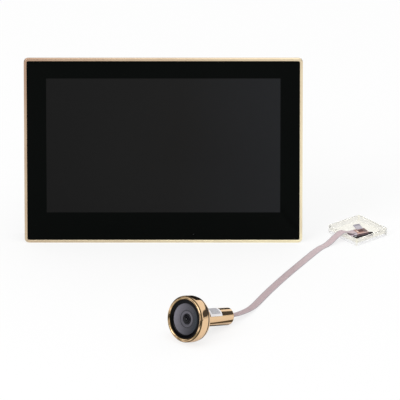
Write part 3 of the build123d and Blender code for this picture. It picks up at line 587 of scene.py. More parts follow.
# %% [markdown]
# ## Gold rim of the monitor
# The rim is a thin frame with a rounded outer edge and a narrow inner bevel. A box is given
# round corners, its two faces are inset by the rim's width, and a bridge between them opens
# the window.

# %% Gold rim
trim_face, trim_depth, corner_radius, trim_bevel = 1.9, 1.8, 3.0, 0.45


def upright_plate(name, size, centre, front, back, radius, corner_steps):
    """A plate in the monitor's own plane, with its upright corners rounded."""
    piece = start_piece(name, bpy.ops.mesh.primitive_cube_add, size=1)
    depth = back - front
    place(piece, Matrix.LocRotScale(
        Vector((centre[0], front_y + front + depth / 2, centre[1])) * MM, None,
        Vector((size[0], depth, size[1])) * MM))
    edit(piece)
    pick(piece, "edges", lambda e: abs((e.verts[0].co - e.verts[1].co).y) > depth * MM * 0.9)
    bevel(radius, corner_steps)
    edit(piece, False)
    return piece


def front_rim(y, tolerance=0.02):
    """A test for edges that lie flat at a depth and border a face that looks aside."""
    def test(edge):
        flat = all(abs(v.co.y - y * MM) < tolerance * MM for v in edge.verts)
        return flat and any(abs(f.normal.y) < 0.5 for f in edge.link_faces)
    return test


rim = upright_plate("gold_rim", (monitor_width, monitor_height), (0, monitor_height / 2), 0,
                    trim_depth, corner_radius, 10)
edit(rim)
pick(rim, "faces", lambda f: abs(f.normal.y) > 0.9)
bpy.ops.mesh.inset(thickness=trim_face * MM)
bpy.ops.mesh.bridge_edge_loops()
pick(rim, "edges", front_rim(front_y))
bevel(trim_bevel, 4)
edit(rim, False)
finish_piece(rim, rim_gold, Matrix(), "monitor", "trim_frame", 30)

# %% [markdown]
# ## Front glass
# The glass is black printed from behind, with a clear window over the display. Switched off,
# the display is a very dark grey, and a painted reflection makes it a little lighter at the right.
# One plate shows both.
# Four cuts run along the window's edges, so that each area can have its own finish, and a
# boolean drills the microphone's hole below the window.

# %% Front glass
glass_gap, glass_front, glass_back, glass_corner, glass_bevel = 0.1, 0.3, 1.4, 1.0, 0.12
glass_size = [overall - 2 * (trim_face + glass_gap) for overall in (monitor_width, monitor_height)]
active_size, active_centre = (150.7, 94.2), (0, 68.5)
glass = upright_plate("front_glass", glass_size, (0, monitor_height / 2), glass_front,
                      glass_back, glass_corner, 8)
edit(glass)
pick(glass, "edges", front_rim(front_y + glass_front))
bevel(glass_bevel, 2)
edit(glass, False)


def cut_flat(piece, point, normal):
    """Cut the whole mesh along a plane, and keep both sides."""
    edit(piece)
    bpy.ops.mesh.select_mode(type="FACE")
    bpy.ops.mesh.select_all(action="SELECT")
    bpy.ops.mesh.bisect(plane_co=tuple(v * MM for v in point), plane_no=normal)
    edit(piece, False)


for side in (-1, 1):
    cut_flat(glass, (side * active_size[0] / 2, 0, 0), (1, 0, 0))
    cut_flat(glass, (0, 0, active_centre[1] + side * active_size[1] / 2), (0, 0, 1))

mic_x, mic_z, mic_radius, mic_sides, drill_length = 19.4, 5.6, 0.6, 32, 6
drill = start_piece("mic_drill", bpy.ops.mesh.primitive_cylinder_add, vertices=mic_sides,
                    radius=mic_radius * MM, depth=drill_length * MM,
                    location=(mic_x * MM, front_y * MM, mic_z * MM), rotation=(pi / 2, 0, 0))
apply_modifier(glass, "BOOLEAN", operation="DIFFERENCE", object=drill, solver="EXACT")
bpy.data.objects.remove(drill)
smooth(glass, 30)

# %% [markdown]
# The print is a black with a haze too faint to notice by itself. The display behind the window
# is a very dark grey, and a painted reflection makes it slightly lighter and bluer towards the
# right. Both reflect little, as glass with a matt coating does.

# %% Glass finishes
printed_glass = speckled("printed_glass", (3, 5, 4), (6, 8, 7), 0.02, 0.1, 0.06, detail=2.0,
                         specular_ior_level=0.03)
dark_display = Finish("dark_display", roughness=0.3, specular_ior_level=0.06)
spot = dark_display.place()
screen_x, _, _ = dark_display.axes(spot)
# Painted reflection: the display's grey goes lighter and bluer towards the right.
slide = screen_x / active_size[0] + 0.5 + (dark_display.noise(spot, 0.012, 2.0) - 0.5) * 0.3
screen_reflection = dark_display.node("ShaderNodeValToRGB", {"stops": [
    (0.0, srgb(22, 22, 22)), (0.55, srgb(27, 27, 27)), (1.0, srgb(33, 34, 36))]}, (slide,))
dark_display.feed(base_color=screen_reflection)
glass.data.materials.append(printed_glass.material)
glass.data.materials.append(dark_display.material)
half_w, half_h = active_size[0] / 2 * MM, active_size[1] / 2 * MM
for face in glass.data.polygons:
    aside, above = face.center.x, face.center.z - active_centre[1] * MM
    if face.normal.y < -0.9 and abs(aside) < half_w and abs(above) < half_h:
        face.material_index = 1
stands_for(glass, "monitor", "cover_glass")
print("glass", len(glass.data.polygons), "faces")

# %% [markdown]
# ## Turned pieces of the camera
# The head, its black ring, the cone and the barrel were all turned on a lathe. Here a ring of
# points is extruded and scaled again and again, from one radius and depth to the next, as a
# turner works along a bar. Short steps between points stand for the rounded edges.

# %% Turning helper
turn_steps, ring_tolerance = 96, 0.004


def turned(name, outline):
    """Rings of (radius, depth behind the front), a pole where the radius is nought."""
    rings = [spot for spot in outline if spot[0] > 0]
    piece = start_piece(name, bpy.ops.mesh.primitive_circle_add, vertices=turn_steps,
                        radius=rings[0][0] * MM, fill_type="NOTHING")
    edit(piece)
    bpy.ops.mesh.select_mode(type="EDGE")
    bpy.ops.mesh.select_all(action="SELECT")
    bpy.ops.transform.translate(value=(0, 0, -rings[0][1] * MM))
    for (radius, depth), (next_radius, next_depth) in zip(rings, rings[1:]):
        bpy.ops.mesh.extrude_edges_move(
            TRANSFORM_OT_translate={"value": (0, 0, -(next_depth - depth) * MM)})
        scale = next_radius / radius
        bpy.ops.transform.resize(value=(scale, scale, 1), center_override=(0, 0, -next_depth * MM))
    if outline[0][0] > 0 and outline[-1][0] > 0:
        pick(piece, "edges", on_rings(rings[0], rings[-1]))
        bpy.ops.mesh.bridge_edge_loops()
    for pole, ring in ((outline[0], rings[0]), (outline[-1], rings[-1])):
        if pole[0] == 0:
            pick(piece, "edges", on_rings(ring))
            bpy.ops.mesh.extrude_edges_move(
                TRANSFORM_OT_translate={"value": (0, 0, -(pole[1] - ring[1]) * MM)})
            bpy.ops.mesh.merge(type="COLLAPSE")
    edit(piece, False)
    outward(piece)
    return piece


def on_rings(*rings):
    """A test for edges that lie round one of the rings."""
    def lies_on(vertex, ring):
        return (abs(vertex.co.xy.length - ring[0] * MM) < ring_tolerance * MM
                and abs(vertex.co.z + ring[1] * MM) < ring_tolerance * MM)

    def test(edge):
        return any(all(lies_on(v, ring) for v in edge.verts) for ring in rings)
    return test


def lay_down(piece, finish, node, angle=30):
    """Lay an upright piece down where it belongs in the camera unit."""
    finish_piece(piece, finish, unit_matrix, "camera_unit", node, angle)


# %% [markdown]
# ## Head shell
# The head is a low dome of polished gold. A narrow bead stands round its front, with a fine
# groove behind it, and the side swells and then draws in to the rear plate.

# %% Head shell
head = turned("gold_head", [
    (12.85, 0.5), (13.05, 0.22), (13.35, 0.05), (13.65, 0.0), (13.95, 0.05), (14.25, 0.2),
    (14.45, 0.42), (14.52, 0.62), (14.5, 0.78), (14.62, 0.86), (14.78, 1.0), (14.9, 1.4),
    (14.97, 2.2), (15.0, 3.4), (15.0, 5.4), (14.98, 6.4), (14.94, 6.75), (14.82, 6.9),
    (14.6, 6.95), (12.6, 7.0), (12.6, 0.8), (12.68, 0.62),
])
lay_down(head, polished_gold, "head_shell")

# %% [markdown]
# Behind the head are a black gasket and a thin gold plate, whose collar goes up inside the
# head.

# %% Gasket and rear plate
plate = turned("rear_flange", [
    (5.05, 8.1), (11.55, 8.1), (11.55, 4.4), (12.55, 4.4), (12.55, 8.1), (14.3, 8.1),
    (14.45, 8.22), (14.42, 8.8), (14.22, 9.2), (13.9, 9.38), (13.6, 9.4), (5.05, 9.4),
])
lay_down(plate, polished_gold, "rear_plate")

gasket_rubber = speckled("gasket_rubber", (16, 16, 17), (30, 30, 31), 2.0, 0.68, 0.15, 0.02)
gasket = turned("head_seal", [
    (12.55, 7.0), (14.6, 7.0), (14.74, 7.05), (14.76, 7.2), (14.66, 7.9), (14.5, 8.1),
    (12.55, 8.1),
])
lay_down(gasket, gasket_rubber, "head_gasket")

# %% [markdown]
# ## Barrel
# The barrel is a plain polished tube with a small flange, a rounded open end and a shallow
# seat for the label.

# %% Barrel
barrel = turned("gold_barrel", [
    (4.7, 8.2), (5.0, 8.2), (5.0, 9.4), (6.5, 9.4), (6.7, 9.5), (6.7, 9.95), (6.6, 10.1),
    (5.85, 10.1), (5.7, 10.25), (5.7, 40.9), (5.62, 41.25), (5.42, 41.5), (5.15, 41.6),
    (4.85, 41.6), (4.7, 41.5),
])
lay_down(barrel, polished_gold, "barrel_tube")

# %% [markdown]
# ## Optics
# A gloss black ring holds a satin grey cone with fine baffle rings. The cone leads to a small
# dark lens under its retaining ring.

# %% Black ring
gloss_black = speckled("gloss_black", (3, 3, 4), (7, 7, 9), 1.2, 0.12, 0.08, at=on_unit,
                       detail=3.0, specular_ior_level=0.1)
black = turned("black_bezel", [
    (12.55, 1.1), (12.45, 1.0), (10.75, 1.0), (10.6, 1.03), (10.2, 1.35), (10.1, 1.5),
    (10.1, 3.0), (12.55, 3.0),
])
lay_down(black, gloss_black, "black_ring")

# %% [markdown]
# The cone is turned in shallow steps, which catch stray light before it reaches the lens. Its
# grey is painted lighter at the left, as a painted highlight from the lamp there, and painted
# darker and a little blue at the right, as painted shade.

# %% Grey cone
cone_grey = Finish("baffle_grey", roughness=0.4, specular_ior_level=0.4)
spot = cone_grey.place(*on_unit)
cone_x, cone_y, _ = cone_grey.axes(spot)
cone_seat, cone_wide, cone_narrow, cone_front, cone_back = 10.05, 9.95, 6.5, 1.42, 2.4
baffles, baffle_edge, baffle_step, ring_pitch = 8, 0.08, 0.02, 0.45
cone_reach = reach(cone_x, cone_y)
rings_tone = (cone_reach * (2 * pi / ring_pitch)).sine() * 0.5 + 0.5
cone_dust = cone_grey.noise(spot, 1.5, 4.0)
# Painted light and shade: the ramp goes from lighter grey at the left to dark blue-grey at the
# right.
sweep = cone_x / (2 * cone_seat) + 0.5 + (cone_dust - 0.5) * 0.2
tone = cone_grey.node("ShaderNodeValToRGB", {"stops": [
    (0.0, srgb(128, 125, 136)), (0.3, srgb(100, 98, 107)), (0.55, srgb(76, 75, 83)),
    (0.75, srgb(54, 54, 61)), (0.9, srgb(34, 42, 50)), (1.0, srgb(22, 38, 48))]}, (sweep,))
tone = cone_grey.mix(rings_tone * 0.3, tone, srgb(52, 52, 58))
tone = cone_grey.mix(cone_reach.between(5.15, 5.75, 0.1) * 0.75, tone, srgb(34, 34, 39))
cone_grey.feed(base_color=tone, roughness=0.36 + cone_dust * 0.1)

cone_outline = [(12.55, 3.0), (cone_seat, 3.0), (cone_seat, 1.5), (cone_wide, cone_front)]
for step in range(baffles):
    outer = cone_wide - (cone_wide - cone_narrow) * step / baffles
    inner = cone_wide - (cone_wide - cone_narrow) * (step + 1) / baffles
    depth = cone_front + (cone_back - cone_front) * (step + 1) / baffles
    cone_outline += [(outer - baffle_edge, depth - baffle_step), (inner + baffle_step, depth)]
cone_outline += [(6.4, 2.42), (6.4, 2.6), (5.2, 2.6), (5.2, 3.1), (3.6, 3.1), (3.6, 4.4),
                 (12.55, 4.4)]
cone = turned("grey_cone", cone_outline)
lay_down(cone, cone_grey, "lens_cone", 25)

# %% [markdown]
# A thin anodised ring holds the front lens. The lens is a dark dome, whose coating is painted
# on it as colour. The reflections of its inner lenses are painted on it as lighter rings, because a
# real stack of lenses can't be seen at this size, and a painted highlight sits at its middle.

# %% Retainer and lens
retainer_anodised = speckled("retainer_anodised", (84, 83, 91), (112, 110, 119), 2.5, 0.24, 0.12,
                             at=on_unit, detail=3.0, metallic=0.4)
retainer = turned("lens_ring", [
    (3.6, 2.85), (3.65, 2.78), (4.1, 2.68), (4.3, 2.72), (4.5, 2.66), (4.9, 2.6), (5.1, 2.63),
    (5.15, 2.7), (5.15, 3.1), (3.6, 3.1),
])
lay_down(retainer, retainer_anodised, "lens_retainer")

coated_glass = Finish("coated_glass", roughness=0.05, specular_ior_level=0.1)
spot = coated_glass.place(*on_unit)
eye_x, eye_y, _ = coated_glass.axes(spot)
lens_radius, dome_front, dome_drop, dome_steps, lens_back = 3.55, 2.2, 0.7, 8, 4.4
# Painted highlight at the lens's middle, and painted reflections of the inner lenses as lighter
# rings.
lens_rings_and_glint = coated_glass.node("ShaderNodeValToRGB", {"stops": [
    (0.0, srgb(120, 124, 124)), (0.1, srgb(48, 50, 52)), (0.18, srgb(8, 8, 11)),
    (0.4, srgb(10, 10, 13)), (0.46, srgb(52, 52, 58)), (0.52, srgb(10, 10, 13)),
    (0.74, srgb(12, 12, 15)), (0.8, srgb(56, 56, 62)), (0.86, srgb(14, 14, 17)),
    (1.0, srgb(40, 40, 45))]}, (reach(eye_x, eye_y) / lens_radius,))
coated_glass.feed(base_color=lens_rings_and_glint)
dome = [(lens_radius * step / dome_steps, dome_front + dome_drop * (step / dome_steps) ** 2)
        for step in range(dome_steps + 1)]
lens = turned("front_lens_glass", dome + [(lens_radius, lens_back), (0, lens_back)])
lay_down(lens, coated_glass, "front_lens", 40)

# %% [markdown]
# ## Label
# A thin paper label is stuck round the upper side of the barrel. It is a flat profile, spun
# part of the way round the barrel's axis, which gives an even curve. It is left blank, with a
# plain grey panel inside a white border.

# %% Barrel label
label_front, label_length, label_margin = 19.4, 11.0, 1.4
label_inner, label_outer = 5.62, 5.76
label_centre, label_half = radians(65), radians(42)


def barrel_patch(name, inner, outer, front, length, start, sweep, steps):
    """A curved patch: a thin upright profile, spun about the barrel's axis."""
    piece = start_piece(name, bpy.ops.mesh.primitive_plane_add, size=1)
    turn = Matrix.Rotation(start, 4, "Z") @ Matrix.Translation(
        Vector(((inner + outer) / 2, 0, -front - length / 2)) * MM)
    place(piece, turn @ Matrix.Rotation(pi / 2, 4, "X")
          @ Matrix.Diagonal(((outer - inner) * MM, length * MM, 1, 1)))
    edit(piece)
    bpy.ops.mesh.select_all(action="SELECT")
    bpy.ops.mesh.spin(steps=steps, angle=sweep, center=(0, 0, 0), axis=(0, 0, 1))
    edit(piece, False)
    return piece


paper = Finish("blank_label", roughness=0.55, specular_ior_level=0.3)
spot = paper.place(*on_unit)
paper_x, paper_y, paper_z = paper.axes(spot)
round_it = paper_y.maths("ARCTAN2", paper_x)
inside = (0 - paper_z).between(label_front + label_margin,
                               label_front + label_length - label_margin, 0.2)
inside = inside * round_it.between(label_centre - label_half * 0.62, label_centre + label_half)
ink = paper.noise(spot, 0.9, 3.0)
panel = paper.mix(ink, srgb(150, 150, 156), srgb(196, 196, 202))
paper.feed(base_color=paper.mix(inside * 0.85, srgb(243, 241, 243), panel),
           roughness=0.5 + ink * 0.1)
paper.bump(ink, 0.01)
label = barrel_patch("blank_paper_label", label_inner, label_outer, label_front, label_length,
                     label_centre + label_half, 2 * label_half, 28)
middle = sum((v.co for v in label.data.vertices), Vector()) / len(label.data.vertices)
print("label faces", degrees(atan2(middle.y, middle.x)), "degrees, wanted", degrees(label_centre))
lay_down(label, paper, "barrel_label")

# %% [markdown]
# ## Connector tray
# The tray is a shallow moulding in milky plastic. A block gets round corners, its top is inset
# by the wall and pushed down to the base, and all its rims are rounded, because such a tray
# has no sharp edge. Light passes through its walls, so its finish lets some through.

# %% Connector tray
tray_centre, tray_heading = Vector((125.7, 5.5, 0)), radians(40)
tray_matrix = Matrix.Translation(tray_centre * MM) @ Matrix.Rotation(tray_heading, 4, "Z")


def block(name, size, centre, base, corner, steps=6):
    """A block that stands at a level, with its upright corners rounded."""
    piece = start_piece(name, bpy.ops.mesh.primitive_cube_add, size=1)
    place(piece, Matrix.LocRotScale(Vector((centre[0], centre[1], base + size[2] / 2)) * MM,
                                    None, Vector(size) * MM))
    edit(piece)
    pick(piece, "edges", lambda e: abs((e.verts[0].co - e.verts[1].co).z) > size[2] * MM * 0.9)
    bevel(corner, steps)
    edit(piece, False)
    return piece


def press_in(piece, margin, depth):
    """Inset the face that looks up, and push it down or pull it up."""
    edit(piece)
    top = max(v.co.z for v in bmesh.from_edit_mesh(piece.data).verts)
    pick(piece, "faces", lambda f: f.normal.z > 0.9 and f.calc_center_median().z > top - 0.01 * MM)
    bpy.ops.mesh.inset(thickness=margin * MM)
    bpy.ops.mesh.extrude_region_move(TRANSFORM_OT_translate={"value": (0, 0, -depth * MM)})
    edit(piece, False)


def round_rims(piece, width, steps, low=-1.0):
    """Round the sharp edges that lie above a height."""
    edit(piece)
    pick(piece, "edges", lambda e: len(e.link_faces) == 2 and e.calc_face_angle(0) > radians(50)
         and all(v.co.z > low * MM for v in e.verts))
    bevel(width, steps)
    edit(piece, False)


milky = Finish("milky_plastic", roughness=0.2, ior=1.25, transmission_weight=0.8)
spot = milky.place(tuple(tray_centre * MM), (0, 0, tray_heading))
cast = milky.noise(spot, 0.12, 2.0)
tray_x, tray_y, _ = milky.axes(spot)
tray_width, tray_length, tray_height, tray_base = 27.0, 29.0, 5.0, 1.8
tray_corner, tray_wall, tray_round, outer_skin = 2.0, 0.9, 0.3, 0.2
warm_wall = milky.mix(cast, srgb(255, 253, 244), srgb(253, 250, 236))
outer_wall = (tray_x.size().over(tray_width / 2 - outer_skin, 0.1)
              + tray_y.size().over(tray_length / 2 - outer_skin, 0.1))
milky.feed(base_color=milky.mix(outer_wall.clamped(), warm_wall, srgb(248, 248, 250)),
           roughness=0.14 + cast * 0.1)
milky.bump(cast, 0.01)
tray = block("milky_tray", (tray_width, tray_length, tray_height), (0, 0), 0, tray_corner)
press_in(tray, tray_wall, tray_height - tray_base)
round_rims(tray, tray_round, 3)
finish_piece(tray, milky, tray_matrix, "connector_tray", "connector_tray")

# %% [markdown]
# ## Connector
# A small flex board lies in the tray. The ribbon joins it at the left under a lavender film,
# a copper pad and a dark patch lie behind a black header strip, and a film tab to pull it by
# stands off at the back. One place matrix serves all of them. The board's own print is painted
# in bands and patches, each a soft mask that mixes the next colour over those before it.

# %% Flex board
connector_offset, connector_heading = Vector((-1.9, -3.2, 0)), radians(27)
seat = tray_matrix @ (connector_offset * MM)
connector_matrix = Matrix.Translation(seat) @ Matrix.Rotation(connector_heading, 4, "Z")
on_connector = (tuple(seat), (0, 0, connector_heading))
board_lift, board_thick, board_width, board_length = 0.02, 0.58, 13.6, 13.5
board_corner, board_round, board_centre = 1.2, 0.12, (0, -0.75)
board_base = tray_base + board_lift
board_top = board_base + board_thick
flex = Finish("flex_board", roughness=0.42, coat_weight=0.3, coat_roughness=0.25)
spot = flex.place(*on_connector)
board_x, board_y, _ = flex.axes(spot)
blotch = flex.noise(spot, 1.1, 3.0)
shade = flex.mix(blotch, srgb(142, 100, 92), srgb(168, 128, 120))
patch = board_x.between(3.6, 6.3, 0.4) * board_y.between(-0.8, 4.9, 0.5)
shade = flex.mix(patch * 0.85, shade, srgb(78, 42, 42))
shade = flex.mix(board_y.between(-4.8, -0.7, 0.25) * 0.9, shade, srgb(216, 184, 176))
film_part = (1 - board_x.over(-1.4, 0.5)) * board_y.over(-5.1, 0.3)
shade = flex.mix(film_part * 0.9, shade, srgb(232, 219, 230))
shade = flex.mix((1 - board_y.over(-4.9, 0.3)) * 0.9, shade, srgb(222, 212, 214))
flex.feed(base_color=shade, roughness=0.36 + blotch * 0.14)
flex.bump(blotch + patch * 0.6, 0.05)
board = block("flex_board_plate", (board_width, board_length, board_thick), board_centre,
              board_base, board_corner)
round_rims(board, board_round, 2)
finish_piece(board, flex, connector_matrix, "camera_unit", "connector_board")

# %% [markdown]
# The pad is a thin plate of bare copper with a raised middle. One corner is burnt brown, so it
# is duller and no longer reflects as metal, and a lamp's glint is painted where it shines.

# %% Copper pad
copper = Finish("copper_pad", roughness=0.3, metallic=1.0)
spot = copper.place(*on_connector)
tarnish = copper.noise(spot, 1.6, 4.0)
pad_x, pad_y, _ = copper.axes(spot)
burnt = pad_x.over(0.7, 0.4) * pad_y.over(0.3, 0.3)
glint = 1 - reach(pad_x - 0.5, pad_y - 2.2).over(0.8, 0.3)
tone = copper.mix(tarnish, srgb(238, 206, 188), srgb(208, 156, 134))
tone = copper.mix(glint * 0.9, tone, srgb(255, 240, 230))
copper.feed(base_color=copper.mix(burnt * 0.95, tone, srgb(66, 26, 28)),
            roughness=0.26 + tarnish * 0.2 + burnt * 0.3, metallic=1 - burnt * 0.9)
copper.bump(tarnish, 0.02)
pad_size, pad_centre, pad_corner, pad_margin, pad_rise = (4.8, 4.0, 0.1), (1.9, 1.8), 0.5, 0.5, 0.05
pad = block("copper_contact_pad", pad_size, pad_centre, board_top, pad_corner)
press_in(pad, pad_margin, -pad_rise)
finish_piece(pad, copper, connector_matrix, "camera_unit", "contact_plate")

# %% [markdown]
# The strip is a moulded header with a sunk top and a raised bar in it. A sine along its length
# gives the row of pins down its middle, and a small white dot marks its left end.

# %% Header strip
header_black = Finish("header_black", roughness=0.38)
spot = header_black.place(*on_connector)
strip_x, strip_y, _ = header_black.axes(spot)
dust = header_black.noise(spot, 2.2, 3.0)
pin_pitch, dot_radius = 0.8, 0.9
pins = (strip_x * (2 * pi / pin_pitch)).sine().over(0.55, 0.3)
pins = pins * (0 - strip_y).between(5.6, 6.4, 0.2)
dot = 1 - reach(strip_x + 5.5, strip_y + 6.2).over(dot_radius, 0.1)
shade = header_black.mix(dust, srgb(20, 17, 19), srgb(44, 38, 42))
shade = header_black.mix(pins * 0.35, shade, srgb(92, 70, 74))
brown_part = (1 - strip_x.size().over(4.2, 0.5)) * strip_y.over(-6.4, 0.4)
shade = header_black.mix(brown_part * 0.7, shade, srgb(104, 78, 82))
header_black.feed(base_color=header_black.mix(dot, shade, srgb(240, 238, 240)),
                  roughness=0.34 + dust * 0.16)
header_black.bump(dust, 0.03)
strip_size, strip_centre, strip_corner, strip_round = (14.2, 2.8, 1.4), (0, -6.1), 1.3, 0.1
strip = block("header_strip", strip_size, strip_centre, board_top, strip_corner, 8)
for margin, depth in ((0.5, 0.25), (0.35, -0.2)):
    press_in(strip, margin, depth)
round_rims(strip, strip_round, 2, low=board_top + strip_size[2] - 0.5)
finish_piece(strip, header_black, connector_matrix, "camera_unit", "connector_block")

# %% [markdown]
# The tab is a strip of film. It is subdivided along its length and its far rows are lifted,
# each more than the last, so it curls up from the board as real film does. Its lifted far end
# is painted darker, as painted shade.

# %% Pull tab
tab_film = Finish("tab_film", roughness=0.3, transmission_weight=0.35, ior=1.35)
spot = tab_film.place(*on_connector)
wrinkle = tab_film.noise(spot, 0.8, 3.0)
_, tab_y, _ = tab_film.axes(spot)
film = tab_film.mix(wrinkle, srgb(222, 217, 224), srgb(200, 194, 203))
# Painted shade: the tab's lifted far end is darker.
tab_film.feed(base_color=tab_film.mix(tab_y.over(9.3, 0.5) * 0.6, film, srgb(150, 146, 158)),
              roughness=0.26 + wrinkle * 0.14)
tab_film.bump(wrinkle, 0.05)
tab_rows, tab_start, tab_run, row_lift = 14, 4.9, 5.8, 0.0095
tab_width, tab_thick, tab_aside, tab_corner = 4.8, 0.1, 3.6, 0.6
tab = block("film_pull_tab", (tab_width, tab_run, tab_thick),
            (tab_aside, tab_start + tab_run / 2), board_top, tab_corner)
for row in range(1, tab_rows):
    cut_flat(tab, (0, tab_start + tab_run * row / tab_rows, 0), (0, 1, 0))
edit(tab)
for row in range(1, tab_rows + 1):
    edge_y = tab_start + tab_run * (row - 0.5) / tab_rows
    pick(tab, "verts", lambda v: v.co.y > edge_y * MM)
    bpy.ops.transform.translate(value=(0, 0, row_lift * row * MM))
edit(tab, False)
finish_piece(tab, tab_film, connector_matrix, "camera_unit", "pull_tab")

# %% [markdown]
# ## Cover screws
# Four small screws hold the back cover. One is turned with its thread's rings, and a boolean
# cuts a cross in its head. Four copies of it, each with its own mesh and its own turn, go to
# their places, and the first one is then removed.

# %% Cover screws
screw_zinc = speckled("screw_zinc", (70, 70, 74), (104, 104, 108), 1.8, 0.26, 0.2, 0.01,
                      metallic=1.0)
shank_radius, root_radius, threads, thread_pitch, screw_tip = 1.3, 1.05, 5, 1.0, 6.6
screw_outline = [(0, 0.1), (1.6, 0.1), (2.05, 0.22), (2.3, 0.5), (2.3, 1.3), (2.2, 1.4),
                 (shank_radius, 1.4)]
for thread in range(threads):
    screw_outline += [(shank_radius, 1.8 + thread * thread_pitch),
                      (root_radius, 2.2 + thread * thread_pitch)]
screw = turned("cover_screw", screw_outline + [(0, screw_tip)])
cross_length, cross_width, cross_depth = 2.7, 0.55, 1.7
for turn in (0, pi / 2):
    cutter = start_piece("recess_cutter", bpy.ops.mesh.primitive_cube_add, size=1)
    place(cutter, Matrix.Rotation(turn, 4, "Z") @ Matrix.Diagonal(
        (cross_length * MM, cross_width * MM, cross_depth * MM, 1)))
    apply_modifier(screw, "BOOLEAN", operation="DIFFERENCE", object=cutter, solver="EXACT")
    bpy.data.objects.remove(cutter)
screw_reach, screw_levels, screw_sunk = 82, (10, 108), 0.1
screw_seat = front_y + monitor_depth - screw_sunk
screw_spots = [(side * screw_reach, level) for level in screw_levels for side in (-1, 1)]
for index, (screw_x, screw_z) in enumerate(screw_spots):
    copy = screw.copy()
    copy.data = screw.data.copy()
    copy.name = copy.data.name = "cover_screw_" + str(index + 1)
    bpy.context.scene.collection.objects.link(copy)
    away = Matrix.Translation((screw_x * MM, screw_seat * MM, screw_z * MM))
    finish_piece(copy, screw_zinc, away @ Matrix.Rotation(-pi / 2, 4, "X")
                 @ Matrix.Rotation(radians(23 + 31 * index), 4, "Z"), "monitor", "cover_screws")
bpy.data.objects.remove(screw)

# %% [markdown]
# ## Finishes of the pieces that stay
# The other pieces keep their CAD shapes. Each family gets its own procedural finish: moulded
# and rubbery blacks, brushed and plated metals, boards with tracks, films and papers.

# %% Dressing helper
def dress(finish, *names):
    """Give a finish to CAD pieces."""
    for name in names:
        for slot in nodes[name].material_slots:
            slot.material = finish.material
    print(finish.material.name, "on", ", ".join(names))


# %% Plastics, rubber and paper
dress(speckled("moulded_black", (22, 22, 23), (32, 32, 34), 5.0, 0.46, 0.18, 0.025),
      "back_cover", "mid_frame")
dress(speckled("key_black", (26, 26, 27), (38, 38, 40), 3.0, 0.3, 0.12, 0.01), "power_button")
dress(speckled("housing_black", (14, 14, 15), (26, 26, 28), 2.0, 0.5, 0.2, 0.02),
      "lens_housing", "speaker")
dress(speckled("grommet_rubber", (18, 18, 19), (36, 36, 37), 1.4, 0.7, 0.15, 0.03), "cable_grommet")
dress(speckled("socket_nylon", (226, 222, 210), (240, 237, 228), 1.2, 0.4, 0.15, 0.01),
      "camera_socket", "status_led")
dress(speckled("light_guide_acrylic", (236, 240, 242), (248, 250, 250), 0.08, 0.15, 0.1),
      "light_guide")
dress(speckled("foam_adhesive", (24, 24, 25), (48, 48, 50), 2.6, 0.8, 0.1, 0.05), "glass_adhesive")
dress(speckled("panel_glass", (28, 30, 32), (38, 40, 44), 0.05, 0.08, 0.08), "lcd_panel")
dress(speckled("chip_epoxy", (20, 20, 21), (40, 40, 42), 3.0, 0.42, 0.2, 0.015),
      "board_chips", "power_switch", "image_sensor")
dress(speckled("battery_foil", (176, 180, 186), (206, 208, 212), 0.5, 0.3, 0.2, 0.04, metallic=0.6),
      "battery_pack")
dress(speckled("optical_glass", (60, 70, 84), (84, 76, 96), 0.4, 0.03, 0.03), "inner_lenses")
dress(speckled("inner_ribbon_film", (188, 172, 177), (203, 189, 193), 1.5, 0.38, 0.12, 0.01,
               stretch=(3, 1, 1)), "inner_ribbon")

# %% [markdown]
# Sheet metals are drawn or rolled, so their grain is stretched along one axis. The tinned and
# the plated ones have an even, fine speckle.

# %% Metals
dress(speckled("brushed_steel", (150, 152, 156), (186, 188, 192), 2.0, 0.28, 0.24, 0.012,
               stretch=(0.06, 1, 1.6), metallic=1.0), "wall_bracket", "backlight_tray")
dress(speckled("tinned_steel", (168, 170, 172), (198, 200, 202), 0.9, 0.22, 0.2, 0.01,
               metallic=1.0), "shield_can", "card_socket", "usb_socket", "microphone")
dress(speckled("board_screw_nickel", (150, 148, 140), (190, 188, 178), 1.6, 0.28, 0.2, 0.01,
               metallic=1.0), "board_screws")

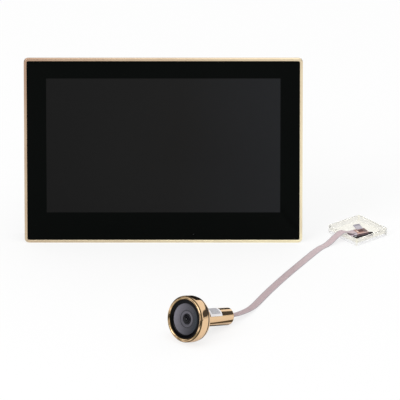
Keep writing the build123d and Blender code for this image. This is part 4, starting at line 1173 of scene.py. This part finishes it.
# %% [markdown]
# The boards are green with tracks that run level and upright, and the films are amber with
# finer tracks. Noise hides each track here and there, so that the rows don't look like a grid.

# %% Boards and films
def tracked(name, mask_first, mask_second, track, pitch, width, roughness):
    """A printed circuit: level and upright tracks that noise lets through here and there."""
    finish = Finish(name, roughness=roughness)
    spot = finish.place()
    track_x, _, track_z = finish.axes(spot)
    blotch = finish.noise(spot, 0.22, 2.0)
    sideways, upright = [(way * (pi / pitch)).sine().size().over(1 - width, 0.06)
                         for way in (track_x, track_z)]
    tracks = sideways * blotch.over(0.52, 0.03) + upright * (1 - blotch.over(0.48, 0.03))
    base = finish.mix(finish.noise(spot, 1.5, 3.0), srgb(*mask_first), srgb(*mask_second))
    finish.feed(base_color=finish.mix(tracks.clamped() * 0.8, base, srgb(*track)),
                roughness=roughness + blotch * 0.12)
    return finish.bump(tracks, 0.03)


board_greens = ((16, 74, 46), (22, 90, 56), (52, 128, 74))
dress(tracked("board_mask", *board_greens, 1.6, 0.3, 0.34), "main_board")
dress(tracked("sensor_mask", *board_greens, 0.8, 0.3, 0.34), "sensor_board")
dress(tracked("amber_film", (186, 112, 34), (206, 134, 50), (226, 170, 92), 0.7, 0.5, 0.3),
      "lcd_flex", "wifi_antenna")

# %% [markdown]
# The memory card is black plastic, with a plain grip edge and a row of gold contacts.

# %% Memory card
card = Finish("memory_card_shell", roughness=0.4)
spot = card.place()
card_x, _, card_z = card.axes(spot)
grit = card.noise(spot, 2.4, 3.0)
finger_pitch, fingers_end = 1.1, 76.5
fingers = (card_z * (2 * pi / finger_pitch)).sine().over(-0.2, 0.2)
fingers = fingers * (1 - card_x.over(fingers_end, 0.2))
card.feed(base_color=card.mix(fingers, card.mix(grit, srgb(22, 22, 24), srgb(38, 38, 40)),
                              srgb(214, 172, 92)), roughness=0.34 + grit * 0.16)
card.bump(grit, 0.015)
dress(card, "memory_card")

# %% [markdown]
# ## The ribbon's body
# The ribbon rides on the camera unit's body, in place of the CAD ribbon, which is then hidden.

stands_for(ribbon, "camera_unit", "ribbon_cable")
